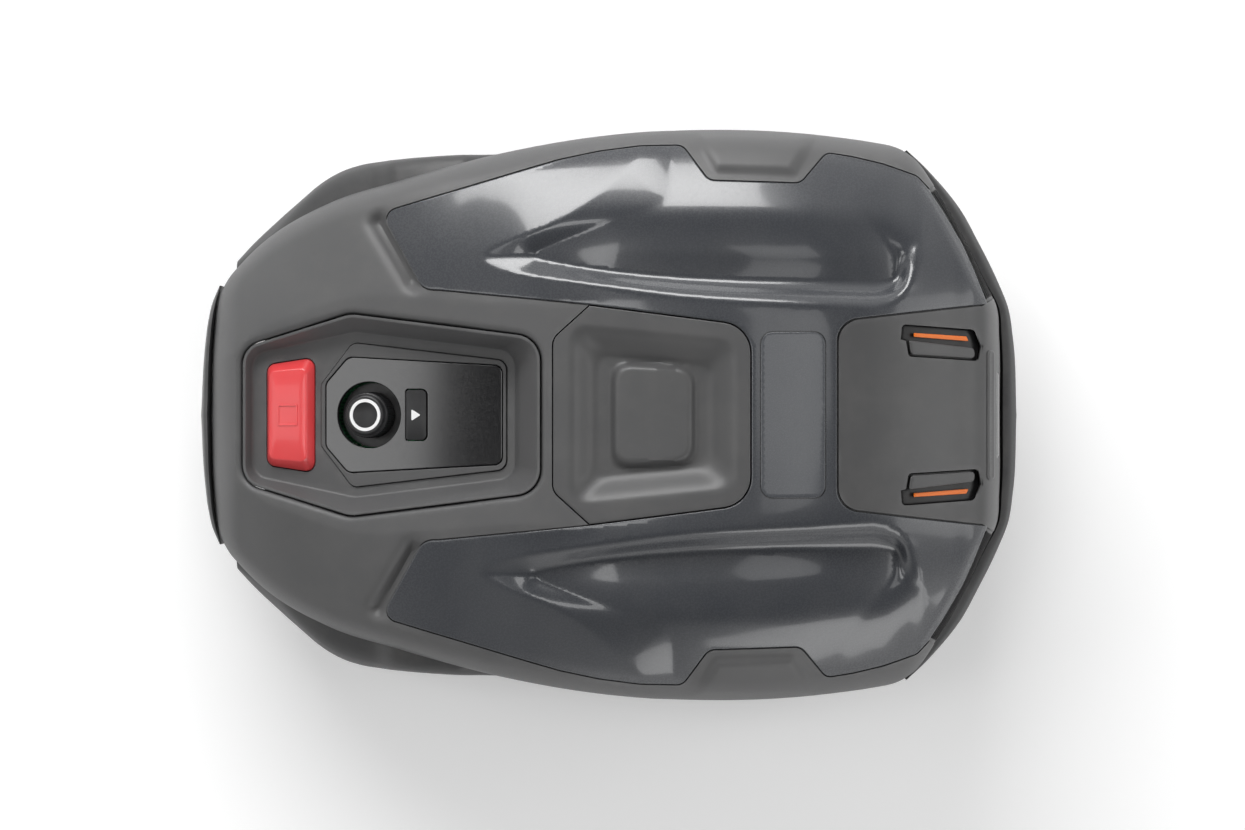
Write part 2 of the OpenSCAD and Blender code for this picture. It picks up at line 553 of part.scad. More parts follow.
module display_glass() color("#1b1c1e") on_console() difference() {
  translate([0, 0, 0.7]) linear_extrude(glass_t) polygon(glass_outline);
  translate([0, 0, -cut]) linear_extrude(glass_t + 4) polygon(grown(start_outline, key_gap));
  translate([knob_x, 0, -cut]) cylinder(r = knob_well_r, h = glass_t + 4, $fn = 64);
}
board_z = -20;
board_t = 1.6;
board_bosses = [[-50, 22], [60, 22]];
module control_board() color("#2f5d3a") on_console() {
  translate([-56, -28, board_z]) cube([124, 56, board_t]);
  translate([knob_x, 0, board_z + board_t]) ring(9, stem_r + run_gap, 4.5);
  translate([10, -12, board_z + board_t]) cube([14, 24, 6]);
  translate([32, -16, board_z + board_t]) cube([22, 32, 7]);
}
module stop_button() color("#e0474b") on_console() {
  translate([0, 0, -6]) linear_extrude(8) polygon(stop_outline);
  hull() {
    translate([0, 0, 1.5]) linear_extrude(0.5) polygon(stop_outline);
    translate([0, 0, stop_h - 0.5]) linear_extrude(0.5) polygon(stop_top_outline);
  }
}
module start_button() color("#3a3a3c") on_console()
  translate([0, 0, -6]) linear_extrude(glass_t + 7.2) polygon(start_outline);
knob_top = 0.7 + glass_t + knob_h;
knob_base = -9.8;
stem_r = 4;
stem_base = board_z + board_t + key_travel + air;
module knob_stem() color("#2a2a2b") on_console() translate([knob_x, 0, 0]) {
  translate([0, 0, stem_base]) cylinder(r = stem_r, h = knob_top - 3 - stem_base, $fn = arc_fn);
  translate([0, 0, -12]) cylinder(r = knob_well_r - 1, h = 2, $fn = 64);
}
module jog_knob() color("#1f1f20") on_console() translate([knob_x, 0, 0]) difference() {
  union() {
    translate([0, 0, knob_base]) cylinder(r = knob_r, h = knob_top - 3 - knob_base, $fn = 64);
    translate([0, 0, knob_top - 3]) cylinder(r1 = knob_r, r2 = knob_r - 3, h = 3, $fn = 64);
  }
  translate([0, 0, knob_base - cut])
    cylinder(r = stem_r + run_gap, h = knob_top - 2.9 - knob_base + cut, $fn = arc_fn);
  translate([0, 0, knob_top - 0.8]) ring(12.6, 10, 2);
}
module knob_ring() color("#e8e8e8") on_console() translate([knob_x, 0, knob_top - 0.75])
  ring(12.5, 10.1, 0.9);

module antenna_socket() color("#2b2b2c") translate([35, 0, bay_z]) {
  ring(16, 12, 14);
  cylinder(r = 5, h = 12, $fn = arc_fn);
  translate([-24, -24, 0]) cube([48, 48, 2]);
}
// ---- Suspension between shell and chassis ----
lid_top = lid_z + tub_t;
foot_r = post_r + 3;
foot_h = 4;
cup_inner = foot_r + 1.42 * bump_travel + 1;
cup_h = 9;
function post_top(p) = crown(p.x, p.y) - shell_t - 8;
module on_posts(z) for (p = post_places, s = [-1, 1]) translate([p.x, s * p.y, z]) children();
module suspension_feet() color("#2a2a2b") on_posts(lid_top + 2 + air)
  cylinder(r = foot_r, h = foot_h, $fn = arc_fn);
module suspension_posts() color("#2a2a2b") for (p = post_places, s = [-1, 1])
  translate([p.x, s * p.y, lid_top + 2 + foot_h + 2 * air])
    cylinder(r = post_r, h = post_top(p) - lid_top - 2 - foot_h - 2 * air, $fn = arc_fn);
module suspension_cups() color("#1f1f20") on_posts(lid_top) {
  cylinder(r = cup_inner + 2.5, h = 2, $fn = arc_fn);
  ring(cup_inner + 2.5, cup_inner, cup_h);
}

// ---- Chassis ----
keel_front = 252;
rear_end = -272;
tub_front = 118;
tub_plan = rounded(mirrored([[tub_front, tub_half, 18], [-214, tub_half, 30], [rear_end, 92, 26]]));
keel_plan = rounded(mirrored([[keel_front, keel_half - 10, 18], [tub_front - 20, keel_half + 2]]));
deck_plan = rounded(mirrored([[262, 60, 18], [236, 152, 22], [140, 156, 14], [92, tub_half - 16]]));
arm_z = 112;
bush_r = 11;
bush_h = 28;
dome_z = 214;
dome_r = 84;
dome_x = deck_x - 22;
guide_y = 62;
guide_r = 5;
module level(outlines, d, low, high) translate([0, 0, low]) linear_extrude(high - low)
  for (o = outlines) polygon(grown(o, d));
step_in = 8; // the tub's floor is a smaller pan under its walls
step_h = 6;
module tub_body() difference() {
  union() {
    level([tub_plan, keel_plan], -step_in, floor_z, floor_z + step_h + 2);
    level([tub_plan, keel_plan], 0, floor_z + step_h, lid_z);
    level([deck_plan], 0, arm_z, lid_z);
  }
  level([tub_plan, keel_plan], -step_in - tub_t, floor_z + tub_t, floor_z + step_h + tub_t);
  level([tub_plan, keel_plan], -tub_t, floor_z + step_h + tub_t / 2, lid_z + cut);
  level([deck_plan], -tub_t, arm_z + tub_t, lid_z + cut);
}
module at_pivots(z) both_sides() translate([caster_x, caster_y, z]) children();
module at_guides(z) for (s = [-1, 1]) translate([deck_x, s * guide_y, z]) children();
module recess_cap() translate([deck_x, 0, floor_z + 0.5])
  cylinder(r = recess_r + tub_t, h = recess_z + tub_t - floor_z - 0.5, $fn = 96);
module chassis_tub() color("#38383a") difference() {
  union() {
    tub_body();
    intersection() {
      recess_cap();
      level([tub_plan, keel_plan], -1, floor_z, arm_z);
    }
    at_pivots(arm_z) cylinder(r = bush_r + 5, h = lid_z - arm_z, $fn = arc_fn);
    at_guides(recess_z) cylinder(r = 9, h = 12, $fn = arc_fn);
    for (p = board_posts, s = [-1, 1]) translate([p.x, s * p.y, floor_z + 2])
      cylinder(r = 4, h = main_board_z - floor_z - 2, $fn = 24);
  }
  translate([deck_x, 0, -cut]) cylinder(r = recess_r, h = recess_z + cut, $fn = 96);
  translate([deck_x, 0, recess_z - cut]) cylinder(r = motor_r + 8, h = 30, $fn = 96);
  at_pivots(arm_z - cut) cylinder(r = bush_r, h = lid_z - arm_z + 2 * cut, $fn = arc_fn);
  at_guides(recess_z + tub_t) cylinder(r = guide_r, h = 30, $fn = arc_fn);
  for (s = [-1, 1]) translate([-rear_axle_x, s * (tub_half - tub_t - cut), tyre_r]) rotate([-90 * s, 0, 0])
    cylinder(r = 20, h = tub_t + 2 * cut, $fn = arc_fn);
  column(grown(door_outline, air), floor_z - cut, floor_z + tub_t + cut);
}
door_outline = rounded([[-112, 62, 8], [-250, 62, 8], [-250, -62, 8], [-112, -62, 8]]);
door_screws = [-243, -119];
module battery_door() color("#303032") difference() {
  column(door_outline, floor_z + 0.5, floor_z + tub_t);
  for (x = door_screws, y = [-54, 54]) translate([x, y, floor_z - cut]) cylinder(r = 2.2, h = 10, $fn = 24);
  for (x = [-230:12:-134]) translate([x, -40, floor_z - cut]) cube([6, 80, 1.6 + cut]);
}
module battery_pack() color("#3b4f7a") for (s = [-1, 1])
  translate([-245, s * 31 - 29, floor_z + tub_t + air]) {
  cube([124, 58, 38]);
  translate([40, 19, 38]) cube([30, 20, 6]);
}
main_board_z = 122;
board_size = [150, 144, 1.8];
board_posts = [[-256, 68], [-118, 68]];
module main_board() color("#2f6b40") translate([-260, -board_size.y / 2, main_board_z]) {
  cube(board_size);
  for (x = [12, 52, 96]) translate([x, 20, board_size.z]) cube([28, 40, 8]);
  for (y = [84, 108]) translate([20, y, board_size.z]) cube([90, 14, 12]);
}
module guide_rods() color("#b9bbbd") at_guides(recess_z + tub_t)
  cylinder(r = guide_r, h = dome_z - tub_t - recess_z - tub_t, $fn = arc_fn);
module neck_seal() color("#1c1c1d") translate([deck_x, 0, recess_z]) ring(motor_r + 8, motor_r + air, 8);
module chassis_lid() color("#414143") difference() {
  level([tub_plan, keel_plan, deck_plan], 0, lid_z, lid_top);
  translate([dome_x, 0, lid_z - cut]) cylinder(r = dome_r, h = tub_t + 2 * cut, $fn = 96);
}
module deck_dome() color("#464648") difference() {
  translate([dome_x, 0, lid_z]) cylinder(r = dome_r, h = dome_z - lid_z, $fn = 96);
  translate([dome_x, 0, lid_z - cut])
    cylinder(r = dome_r - tub_t, h = dome_z - tub_t - lid_z + cut, $fn = 96);
}
screw_spots = [[-256, 60], [-160, 116], [-30, 118], [98, 108], [150, 146], [244, 30]];
module chassis_screws() color("#a3a4a6") {
  for (p = screw_spots, s = [-1, 1]) translate([p.x, s * p.y, lid_top]) cylinder(r = 3.5, h = 2.2, $fn = 24);
  for (x = door_screws, y = [-54, 54]) translate([x, y, floor_z + 0.6])
    cylinder(r = 2.2, h = tub_t - 0.6, $fn = 24);
}
motor_l = 46;
module wheel_motors() color("#75777a") for (s = [-1, 1])
  translate([-rear_axle_x, s * (tub_half - motor_l), tyre_r]) rotate([-90 * s, 0, 0]) difference() {
    union() {
      cylinder(r = 24, h = motor_l - tub_t - air, $fn = 64);
      cylinder(r = 19.7, h = motor_l + 3, $fn = arc_fn);
      translate([0, 0, -10]) cylinder(r = 18, h = 11, $fn = arc_fn);
    }
    translate([0, 0, 14]) cylinder(r = drive_shaft_r + run_gap, h = 60, $fn = arc_fn);
  }
module caster_bushes() color("#b08d57") at_pivots(arm_z) ring(bush_r, pivot_r + run_gap, bush_h);
module charging_contacts() color("#c9a86a") for (s = [-1, 1])
  translate([keel_front, s * 22 - 9, floor_z + 14]) cube([1.6, 18, 26]);

// ---- Height adjustment ----
screw_x = deck_x - 71;
nut_r = 13;
gear_z = 190;
function involute_deg(rb, r) = let (a = acos(min(1, rb / r))) tan(a) * 180 / PI - a;
function tooth_half(teeth, r, slack) =
  let (rp = gear_module * teeth / 2, rb = rp * cos(20))
    90 / teeth - slack + involute_deg(rb, rp) - involute_deg(rb, max(rb, r));
function gear_outline(teeth) =
  let (rp = gear_module * teeth / 2, low = rp - 1.3 * gear_module, high = rp + 0.95 * gear_module,
       slack = 0.08 * gear_module / rp * 180 / PI,
       radii = [low, mix(low, high, 0.3), mix(low, high, 0.55), mix(low, high, 0.8), high])
  [for (k = [0:teeth - 1]) each concat(
    [for (r = radii) let (a = 360 * k / teeth - tooth_half(teeth, r, slack)) r * [cos(a), sin(a)]],
    [for (i = [len(radii) - 1:-1:0]) let (r = radii[i], a = 360 * k / teeth + tooth_half(teeth, r, slack))
      r * [cos(a), sin(a)]])];
gear_distance = gear_module * (pinion_teeth + gear_teeth) / 2;
module lead_screw() color("#c4c6c8") translate([screw_x, 0, 0]) {
  translate([0, 0, recess_z + tub_t + air])
    cylinder(r = screw_r, h = gear_z - recess_z - tub_t - air, $fn = arc_fn);
  translate([0, 0, gear_z]) linear_extrude(7) polygon(gear_outline(gear_teeth));
  translate([0, 0, gear_z + 7]) cylinder(r = screw_r, h = 8, $fn = arc_fn);
}
module drive_pinion() color("#d8d2c0") translate([screw_x + gear_distance, 0, gear_z]) {
  rotate(180 + 180 / pinion_teeth) linear_extrude(7) polygon(gear_outline(pinion_teeth));
}
module height_motor() color("#6f7174") translate([screw_x + gear_distance, 0, gear_z + 7 + air])
  cylinder(r = 10, h = dome_z - tub_t - gear_z - 7 - 2 * air, $fn = arc_fn);

// ---- Cutting deck ----
motor_low = cut_z + 14;
motor_top = 142;
module blade_motor() color("#4a4c4f") translate([deck_x, 0, 0]) difference() {
  union() {
    translate([0, 0, motor_low]) cylinder(r = motor_r, h = motor_top - motor_low, $fn = 96);
    translate([0, 0, motor_low - 3]) cylinder(r = 30, h = 3, $fn = 96);
  }
  translate([0, 0, motor_low - 4]) cylinder(r = blade_shaft_r + run_gap, h = 50, $fn = arc_fn);
}
carriage_z = 128;
module deck_carriage() color("#5b5d60") difference() {
  hull() {
    translate([deck_x, 0, carriage_z]) cylinder(r = motor_r + 5, h = 8, $fn = arc_fn);
    for (s = [-1, 1]) translate([deck_x, s * guide_y, carriage_z]) cylinder(r = guide_r + 5, h = 8, $fn = 32);
    translate([screw_x, 0, carriage_z]) cylinder(r = nut_r + 4, h = 8, $fn = 32);
  }
  translate([deck_x, 0, carriage_z - cut]) cylinder(r = motor_r, h = 10, $fn = 96);
  for (s = [-1, 1]) translate([deck_x, s * guide_y, carriage_z - cut])
    cylinder(r = guide_r + run_gap, h = 10, $fn = arc_fn);
  translate([screw_x, 0, carriage_z - cut]) cylinder(r = nut_r, h = 10, $fn = arc_fn);
}
module lift_nut() color("#c8b070") translate([screw_x, 0, carriage_z - 6]) ring(nut_r, screw_r + run_gap, 14);
module blade_shaft() color("#b5b7b9") translate([deck_x, 0, 0]) {
  translate([0, 0, cut_z - 8.7]) cylinder(r = blade_shaft_r, h = motor_low + 44 - cut_z + 8.7, $fn = arc_fn);
}
disc_z = cut_z + blade_t + 0.4;
disc_t = 2.5;
blade_angles = [0, 120, 240];
module blade_disc() color("#3c3d3f") translate([deck_x, 0, disc_z]) difference() {
  union() {
    cylinder(r = disc_r, h = disc_t, $fn = 96);
    cylinder(r = 24, h = 7, $fn = 64);
    ring(disc_r, disc_r - 4, 5);
  }
  translate([0, 0, -cut]) cylinder(r = blade_shaft_r, h = 12, $fn = arc_fn);
  for (a = blade_angles) rotate(a) translate([blade_pivot_r, 0, -cut]) cylinder(r = 2.5, h = 9, $fn = arc_fn);
  for (a = blade_angles) rotate(a + 60) translate([52, 0, -cut]) cylinder(r = 12, h = 9, $fn = arc_fn);
}
module blade_screws() color("#c9cacc") translate([deck_x, 0, 0]) for (a = blade_angles) rotate(a)
  translate([blade_pivot_r, 0, 0]) {
  translate([0, 0, cut_z - 2.4]) cylinder(r = 4.5, h = 2.2, $fn = arc_fn);
  translate([0, 0, cut_z - 0.2]) cylinder(r = 2.45, h = disc_z + disc_t - cut_z + 0.2 + 2, $fn = arc_fn);
  translate([0, 0, disc_z + disc_t]) cylinder(r = 4, h = 2.5, $fn = 6);
}
module blade(a) color("#d5d7d9") translate([deck_x, 0, cut_z]) rotate(a) translate([blade_pivot_r, 0, 0])
  difference() {
  linear_extrude(blade_t) polygon(rounded([[blade_l, blade_w / 2, 1], [-blade_w / 2 + 1, blade_w / 2, 6],
    [-blade_w / 2 + 1, -blade_w / 2, 6], [blade_l, -blade_w / 2, 1]]));
  translate([0, 0, -cut]) cylinder(r = 2.6, h = 3, $fn = arc_fn);
}
module blade_1() blade(blade_angles[0]);
module blade_2() blade(blade_angles[1]);
module blade_3() blade(blade_angles[2]);
module skid_plate() color("#2c2c2e") translate([deck_x, 0, cut_z - 10]) difference() {
  union() {
    rotate_extrude($fn = 96)
      polygon([[0, 0], [skid_r - 12, 0], [skid_r, 4], [skid_r, 6], [skid_r - 12, 3], [0, 3]]);
    cylinder(r = 14, h = 8, $fn = arc_fn);
  }
  translate([0, 0, 1]) cylinder(r = blade_shaft_r + run_gap, h = 20, $fn = arc_fn);
}

// ---- Rear wheels, built at the axle's frame with the outer face towards +Z ----
module lug_row(low, h, phase) translate([0, 0, low]) linear_extrude(h) difference() {
  polygon([for (k = [0:lugs - 1]) let (p = 360 / lugs, a = k * p + phase * p) each [
    (tyre_r - tread_d) * [cos(a), sin(a)], tyre_r * [cos(a + 0.1 * p), sin(a + 0.1 * p)],
    tyre_r * [cos(a + 0.3 * p), sin(a + 0.3 * p)], tyre_r * [cos(a + 0.5 * p), sin(a + 0.5 * p)],
    (tyre_r - tread_d) * [cos(a + 0.6 * p), sin(a + 0.6 * p)],
      (tyre_r - tread_d) * [cos(a + 0.8 * p), sin(a + 0.8 * p)]]]);
  circle(r = rim_r + 4, $fn = 96);
}
module tyre() intersection() {
  union() {
    ring(tyre_r - tread_d + 0.5, rim_r, tyre_w);
    lug_row(0, tyre_w * 0.46, 0);
    lug_row(tyre_w * 0.54, tyre_w * 0.46, 0.5);
  }
  rotate_extrude($fn = 96)
    polygon([[rim_r, 2], [tyre_r - 12, 0], [tyre_r - 5, 2], [tyre_r, 9], [tyre_r, tyre_w - 9],
    [tyre_r - 5, tyre_w - 2], [tyre_r - 12, tyre_w], [rim_r, tyre_w - 2]]);
}
cap_r = 18;    // hub cap
cap_depth = 6; // its place in the rim
module rim() {
  difference() {
    union() {
      rotate_extrude($fn = 96)
        polygon([[0, 12], [24, 12], [rim_r - 8, 16], [rim_r - 8, 3], [rim_r, 3], [rim_r, tyre_w - 3],
        [rim_r - 4, tyre_w - 3], [rim_r - 9, tyre_w - 10], [28, tyre_w - 14], [22, tyre_w - 4],
          [0, tyre_w - 4]]);
      translate([0, 0, -6]) cylinder(r = 16, h = 20, $fn = arc_fn);
    }
    for (k = [0:spokes - 1]) rotate(360 * k / spokes) translate([0, 0, -cut]) linear_extrude(tyre_w + 2)
      polygon(rounded([[29, 12, 4], [rim_r - 14, 24, 6], [rim_r - 11, 0, 4], [rim_r - 14, -24, 6],
        [29, -12, 4]]));
    translate([0, 0, tyre_w - cap_depth]) cylinder(r = cap_r + air, h = 10, $fn = arc_fn);
  }
  translate([0, 0, -drive_reach]) cylinder(r = drive_shaft_r, h = drive_reach + 20, $fn = arc_fn);
}
drive_reach = tyre_out - tyre_w - tub_half + motor_l - 14.5;
module hub_cap() translate([0, 0, tyre_w - cap_depth]) {
  cylinder(r = cap_r, h = 2, $fn = arc_fn);
  cylinder(r1 = cap_r, r2 = cap_r - 4, h = cap_depth - 0.5, $fn = arc_fn);
}
module on_wheel(s) translate([-rear_axle_x, s * (tyre_out - tyre_w), tyre_r]) rotate([-90 * s, 0, 0])
  children();
module tyre_left() color("#1e1e1f") on_wheel(1) tyre();
module tyre_right() color("#1e1e1f") on_wheel(-1) tyre();
module rim_left() color("#4d4e50") on_wheel(1) rim();
module rim_right() color("#4d4e50") on_wheel(-1) rim();
module hub_cap_left() color("#3a3a3c") on_wheel(1) hub_cap();
module hub_cap_right() color("#3a3a3c") on_wheel(-1) hub_cap();

// ---- Casters ----
wheel_gap = 1.5;
fork_crown_z = 2 * caster_r + 3;
module fork() {
  legs = caster_w / 2 + wheel_gap;
  translate([0, 0, fork_crown_z]) linear_extrude(fork_t + 1)
    polygon(rounded([[16, legs + fork_t, 8], [-caster_trail - 16, legs + fork_t, 6],
    [-caster_trail - 16, -legs - fork_t, 6], [16, -legs - fork_t, 8]]));
  for (s = [-1, 1]) translate([0, s * (legs + fork_t / 2) + fork_t / 2, 0]) rotate([90, 0, 0])
    linear_extrude(fork_t) polygon(rounded([
    [8, fork_crown_z + 1], [-caster_trail + 11, caster_r - 11, 10.5],
      [-caster_trail - 11, caster_r - 11, 10.5], [-caster_trail - 14, fork_crown_z + 1]]));
  translate([0, 0, fork_crown_z]) cylinder(r = pivot_r, h = arm_z + bush_h + 4 - fork_crown_z, $fn = arc_fn);
  translate([0, 0, arm_z + bush_h + air]) cylinder(r = bush_r - 1.5, h = 2, $fn = arc_fn);
  translate([0, 0, fork_crown_z + fork_t])
    cylinder(r = pivot_r + 3, h = arm_z - air - fork_crown_z - fork_t, $fn = arc_fn);
  translate([-caster_trail, legs + fork_t + 2, caster_r]) rotate([90, 0, 0])
    cylinder(r = caster_axle_r, h = 2 * (legs + fork_t + 2), $fn = arc_fn);
}
module caster_tyre() rotate([90, 0, 0]) translate([0, 0, -caster_w / 2]) difference() {
  union() {
    rotate_extrude($fn = 96)
      polygon([[caster_r - 16, 1], [caster_r - 6, 0], [caster_r - 3, 5], [caster_r - 3, caster_w - 5],
      [caster_r - 6, caster_w], [caster_r - 16, caster_w - 1]]);
    translate([0, 0, 5]) linear_extrude(caster_w - 10)
      polygon([for (k = [0:17], p = [[0, -3], [0.15, 0], [0.55, 0], [0.7, -3]])
      (caster_r + p.y) * [cos(20 * (k + p.x)), sin(20 * (k + p.x))]]);
  }
  translate([0, 0, -cut]) cylinder(r = caster_r - 16, h = caster_w + 2, $fn = 96);
}
hole_circle = 22; // where the caster rim's lightening holes lie
module caster_rim() rotate([90, 0, 0]) translate([0, 0, -caster_w / 2]) difference() {
  rotate_extrude($fn = 96)
    polygon([[0, 0.5], [12, 0.5], [14, 8], [caster_r - 20, 8], [caster_r - 19, 2], [caster_r - 16, 2],
    [caster_r - 16, caster_w - 2], [caster_r - 19, caster_w - 2], [caster_r - 20, caster_w - 8],
      [14, caster_w - 8], [12, caster_w - 0.5], [0, caster_w - 0.5]]);
  translate([0, 0, -cut]) cylinder(r = caster_axle_r + run_gap, h = caster_w + 2, $fn = arc_fn);
  for (k = [0:5]) rotate(60 * k) translate([hole_circle, 0, -cut])
    cylinder(r = 5, h = caster_w + 2, $fn = arc_fn);
}
module at_pivot(s) translate([caster_x, s * caster_y, 0]) children();
module at_caster_wheel(s) at_pivot(s) translate([-caster_trail, 0, caster_r]) children();
module caster_fork_left() color("#3f4042") at_pivot(1) fork();
module caster_fork_right() color("#3f4042") at_pivot(-1) fork();
module caster_tyre_left() color("#1e1e1f") at_caster_wheel(1) caster_tyre();
module caster_tyre_right() color("#1e1e1f") at_caster_wheel(-1) caster_tyre();
module caster_rim_left() color("#55565a") at_caster_wheel(1) caster_rim();
module caster_rim_right() color("#55565a") at_caster_wheel(-1) caster_rim();

main_shell();
bay_tray();
fenders();
front_bumper();
rear_plate();
nose_cover();
headlights();
light_strips();
vent_trims();
control_console();
module_frame();
display_glass();
control_board();
antenna_socket();
top_cover();
label_plate();
antenna_hatch();
stop_button();
start_button();
knob_stem();
jog_knob();
knob_ring();
suspension_feet();
suspension_posts();
chassis_tub();
chassis_lid();
deck_dome();
suspension_cups();
battery_pack();
battery_door();
chassis_screws();
main_board();
wheel_motors();
caster_bushes();
charging_contacts();
height_motor();
guide_rods();
neck_seal();
deck_carriage();
blade_motor();
lift_nut();
blade_disc();
blade_shaft();
blade_screws();
skid_plate();
blade_1();
blade_2();
blade_3();
lead_screw();
drive_pinion();
tyre_left();
rim_left();
hub_cap_left();
tyre_right();
rim_right();
hub_cap_right();
caster_fork_left();
caster_tyre_left();
caster_rim_left();
caster_fork_right();
caster_tyre_right();
caster_rim_right();
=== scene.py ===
# %% [markdown]
# # A robotic lawn mower, dressed for its picture
# The solids of the mower come from its CAD source and stay where they are: they are the frame.
# This lesson puts smooth skins, small fittings and finishes round them, one piece at a time.
# All lengths of the outer skin are written in millimetres, as a drawing would give them, and are
# turned into metres where a mesh is made. +X is forward, +Y is the mower's left, +Z is up.

# %% Load the frame
import json
import math

import bmesh
import bpy
import numpy as np
from mathutils import Matrix, Vector, geometry, kdtree
from mathutils.bvhtree import BVHTree


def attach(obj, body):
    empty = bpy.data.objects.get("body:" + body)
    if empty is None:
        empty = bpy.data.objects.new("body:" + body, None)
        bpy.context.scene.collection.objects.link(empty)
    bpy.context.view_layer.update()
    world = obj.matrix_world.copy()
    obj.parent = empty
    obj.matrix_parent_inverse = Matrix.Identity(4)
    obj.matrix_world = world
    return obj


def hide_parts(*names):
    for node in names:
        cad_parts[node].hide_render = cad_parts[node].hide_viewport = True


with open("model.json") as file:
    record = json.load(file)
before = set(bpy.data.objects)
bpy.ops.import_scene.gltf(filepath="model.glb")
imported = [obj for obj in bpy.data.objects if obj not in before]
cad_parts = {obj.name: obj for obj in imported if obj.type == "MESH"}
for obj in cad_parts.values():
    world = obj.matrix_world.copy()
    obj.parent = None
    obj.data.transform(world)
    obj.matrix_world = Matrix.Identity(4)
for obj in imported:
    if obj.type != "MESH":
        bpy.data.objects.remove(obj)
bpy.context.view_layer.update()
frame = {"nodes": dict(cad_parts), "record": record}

MM = 0.001
nodes = frame["nodes"]

# %% [markdown]
# ## The camera and the points that set it
# The photograph looks straight down on the mower from high above, with its nose to the right.
# A long lens at a known height keeps the nearer hood a little larger than the skirt, as the
# photograph does. The named points say where features show in the photograph's own frame, and
# the camera's place was settled by them.

# %% Image points and camera
PHOTO_W, PHOTO_H = 1245, 830
image_points = {
    "object_left": (201, 415),
    "object_right": (1016, 415),
    "object_top": (588, 131),
    "object_bottom": (588, 699),
    "stop_button": (290, 415),
    "jog_knob": (370, 415),
    "start_button": (416, 415),
    "hatch_pad": (652, 415),
    "label_plate": (793, 415),
    "grip_left": (756, 152),
    "orange_strip_left": (940, 337),
    "orange_strip_right": (940, 493),
    "nose_brow": (991, 415),
    "nose_window": (998, 415),
    "start_sign": (416, 415),
    "rear_ledge_left": (396, 252),
    "rear_ledge_right": (396, 579),
}
camera_data = bpy.data.cameras.new("photo_camera")
camera_data.lens = 100
camera_data.sensor_width = 36
camera_data.clip_start = 0.1
camera_data.clip_end = 50
camera = bpy.data.objects.new("photo_camera", camera_data)
bpy.context.scene.collection.objects.link(camera)
camera.location = (0.012, 0, 2.9)
camera.rotation_euler = (0, 0, 0)
bpy.context.scene.camera = camera
print("camera", tuple(camera.location), "lens", camera_data.lens)

# %% [markdown]
# One function finds the place on a surface that a point of the photograph shows. It sends a ray
# from the camera through the point, and if the ray misses it takes the surface nearest to it.

# %% From a point of the photograph to a place on the mower
def ray_of(x, y):
    longest = max(PHOTO_W, PHOTO_H)
    shift_x, shift_y = camera_data.shift_x, camera_data.shift_y
    across = x - PHOTO_W / 2 + shift_x * longest
    up = PHOTO_H / 2 - y + shift_y * longest
    away = -longest * camera_data.lens / camera_data.sensor_width
    turn = camera.rotation_euler.to_matrix()
    return camera.location.copy(), (turn @ Vector((across, up, away))).normalized()


def tree_of(*pieces):
    """One search tree for several finished pieces, which all lie at the origin."""
    corners, faces = [], []
    for piece in pieces:
        start = len(corners)
        corners += [tuple(v.co) for v in piece.data.vertices]
        faces += [[start + i for i in p.vertices] for p in piece.data.polygons]
    return BVHTree.FromPolygons(corners, faces)


def place_on(tree, name):
    """The place and normal on the tree that the named image point shows."""
    eye, aim = ray_of(*image_points[name])
    place, normal, _, _ = tree.ray_cast(eye, aim)
    if place is None:
        place, normal, _, _ = tree.find_nearest(eye + aim * camera.location.z)
    return place, normal


def shown_at(places):
    """Where places of the mower, one in each row, show in the photograph's frame."""
    turn = np.array(camera.rotation_euler.to_matrix())
    seen = (np.asarray(places) - np.array(camera.location)) @ turn
    longest = max(PHOTO_W, PHOTO_H)
    k = longest * camera_data.lens / camera_data.sensor_width / -seen[:, 2]
    return np.column_stack([PHOTO_W / 2 + seen[:, 0] * k - camera_data.shift_x * longest,
                            PHOTO_H / 2 - seen[:, 1] * k + camera_data.shift_y * longest])


# %% [markdown]
# ## Finishes
# Nearly all of the mower is moulded plastic. A moulded part is never one flat colour: the tool's
# fine spark grain scatters light, the colour drifts a little with the flow of the melt, edges
# are rubbed paler by hands and leaves, and dust settles on what faces the sky. That is one node
# group, which every plastic uses with its own values. A second group draws the fine parallel
# lines of brushed and turned metal.

# %% Helpers for node trees
def add_node(tree, kind, **settings):
    made = tree.nodes.new(kind)
    for name, value in settings.items():
        setattr(made, name, value)
    return made


def feed(tree, socket, value):
    """Links the value if it is a socket, and writes it on the socket if it is a number or colour."""
    if isinstance(value, bpy.types.NodeSocket):
        tree.links.new(value, socket)
    else:
        socket.default_value = value


def arithmetic(tree, operation, a, b, clamp=False):
    made = add_node(tree, "ShaderNodeMath", operation=operation, use_clamp=clamp)
    feed(tree, made.inputs[0], a)
    feed(tree, made.inputs[1], b)
    return made.outputs[0]


def stretch(tree, value, low, high, to_low=0.0, to_high=1.0):
    made = add_node(tree, "ShaderNodeMapRange", clamp=True)
    for name, amount in (("Value", value), ("From Min", low), ("From Max", high),
                         ("To Min", to_low), ("To Max", to_high)):
        feed(tree, made.inputs[name], amount)
    return made.outputs["Result"]


def blend_colours(tree, share, a, b, mode="MIX"):
    made = add_node(tree, "ShaderNodeMix", data_type="RGBA", blend_type=mode)
    feed(tree, made.inputs["Factor"], share)
    feed(tree, made.inputs["A"], a)
    feed(tree, made.inputs["B"], b)
    return made.outputs["Result"]


def noise(tree, place, scale, detail=2.0, roughness=0.5):
    made = add_node(tree, "ShaderNodeTexNoise")
    feed(tree, made.inputs["Vector"], place)
    feed(tree, made.inputs["Scale"], scale)
    made.inputs["Detail"].default_value = detail
    made.inputs["Roughness"].default_value = roughness
    return made.outputs["Fac"]


def grey(tree, tone):
    """A colour with the same tone in all three channels."""
    made = add_node(tree, "ShaderNodeCombineColor")
    for channel in ("Red", "Green", "Blue"):
        feed(tree, made.inputs[channel], tone)
    return made.outputs["Color"]


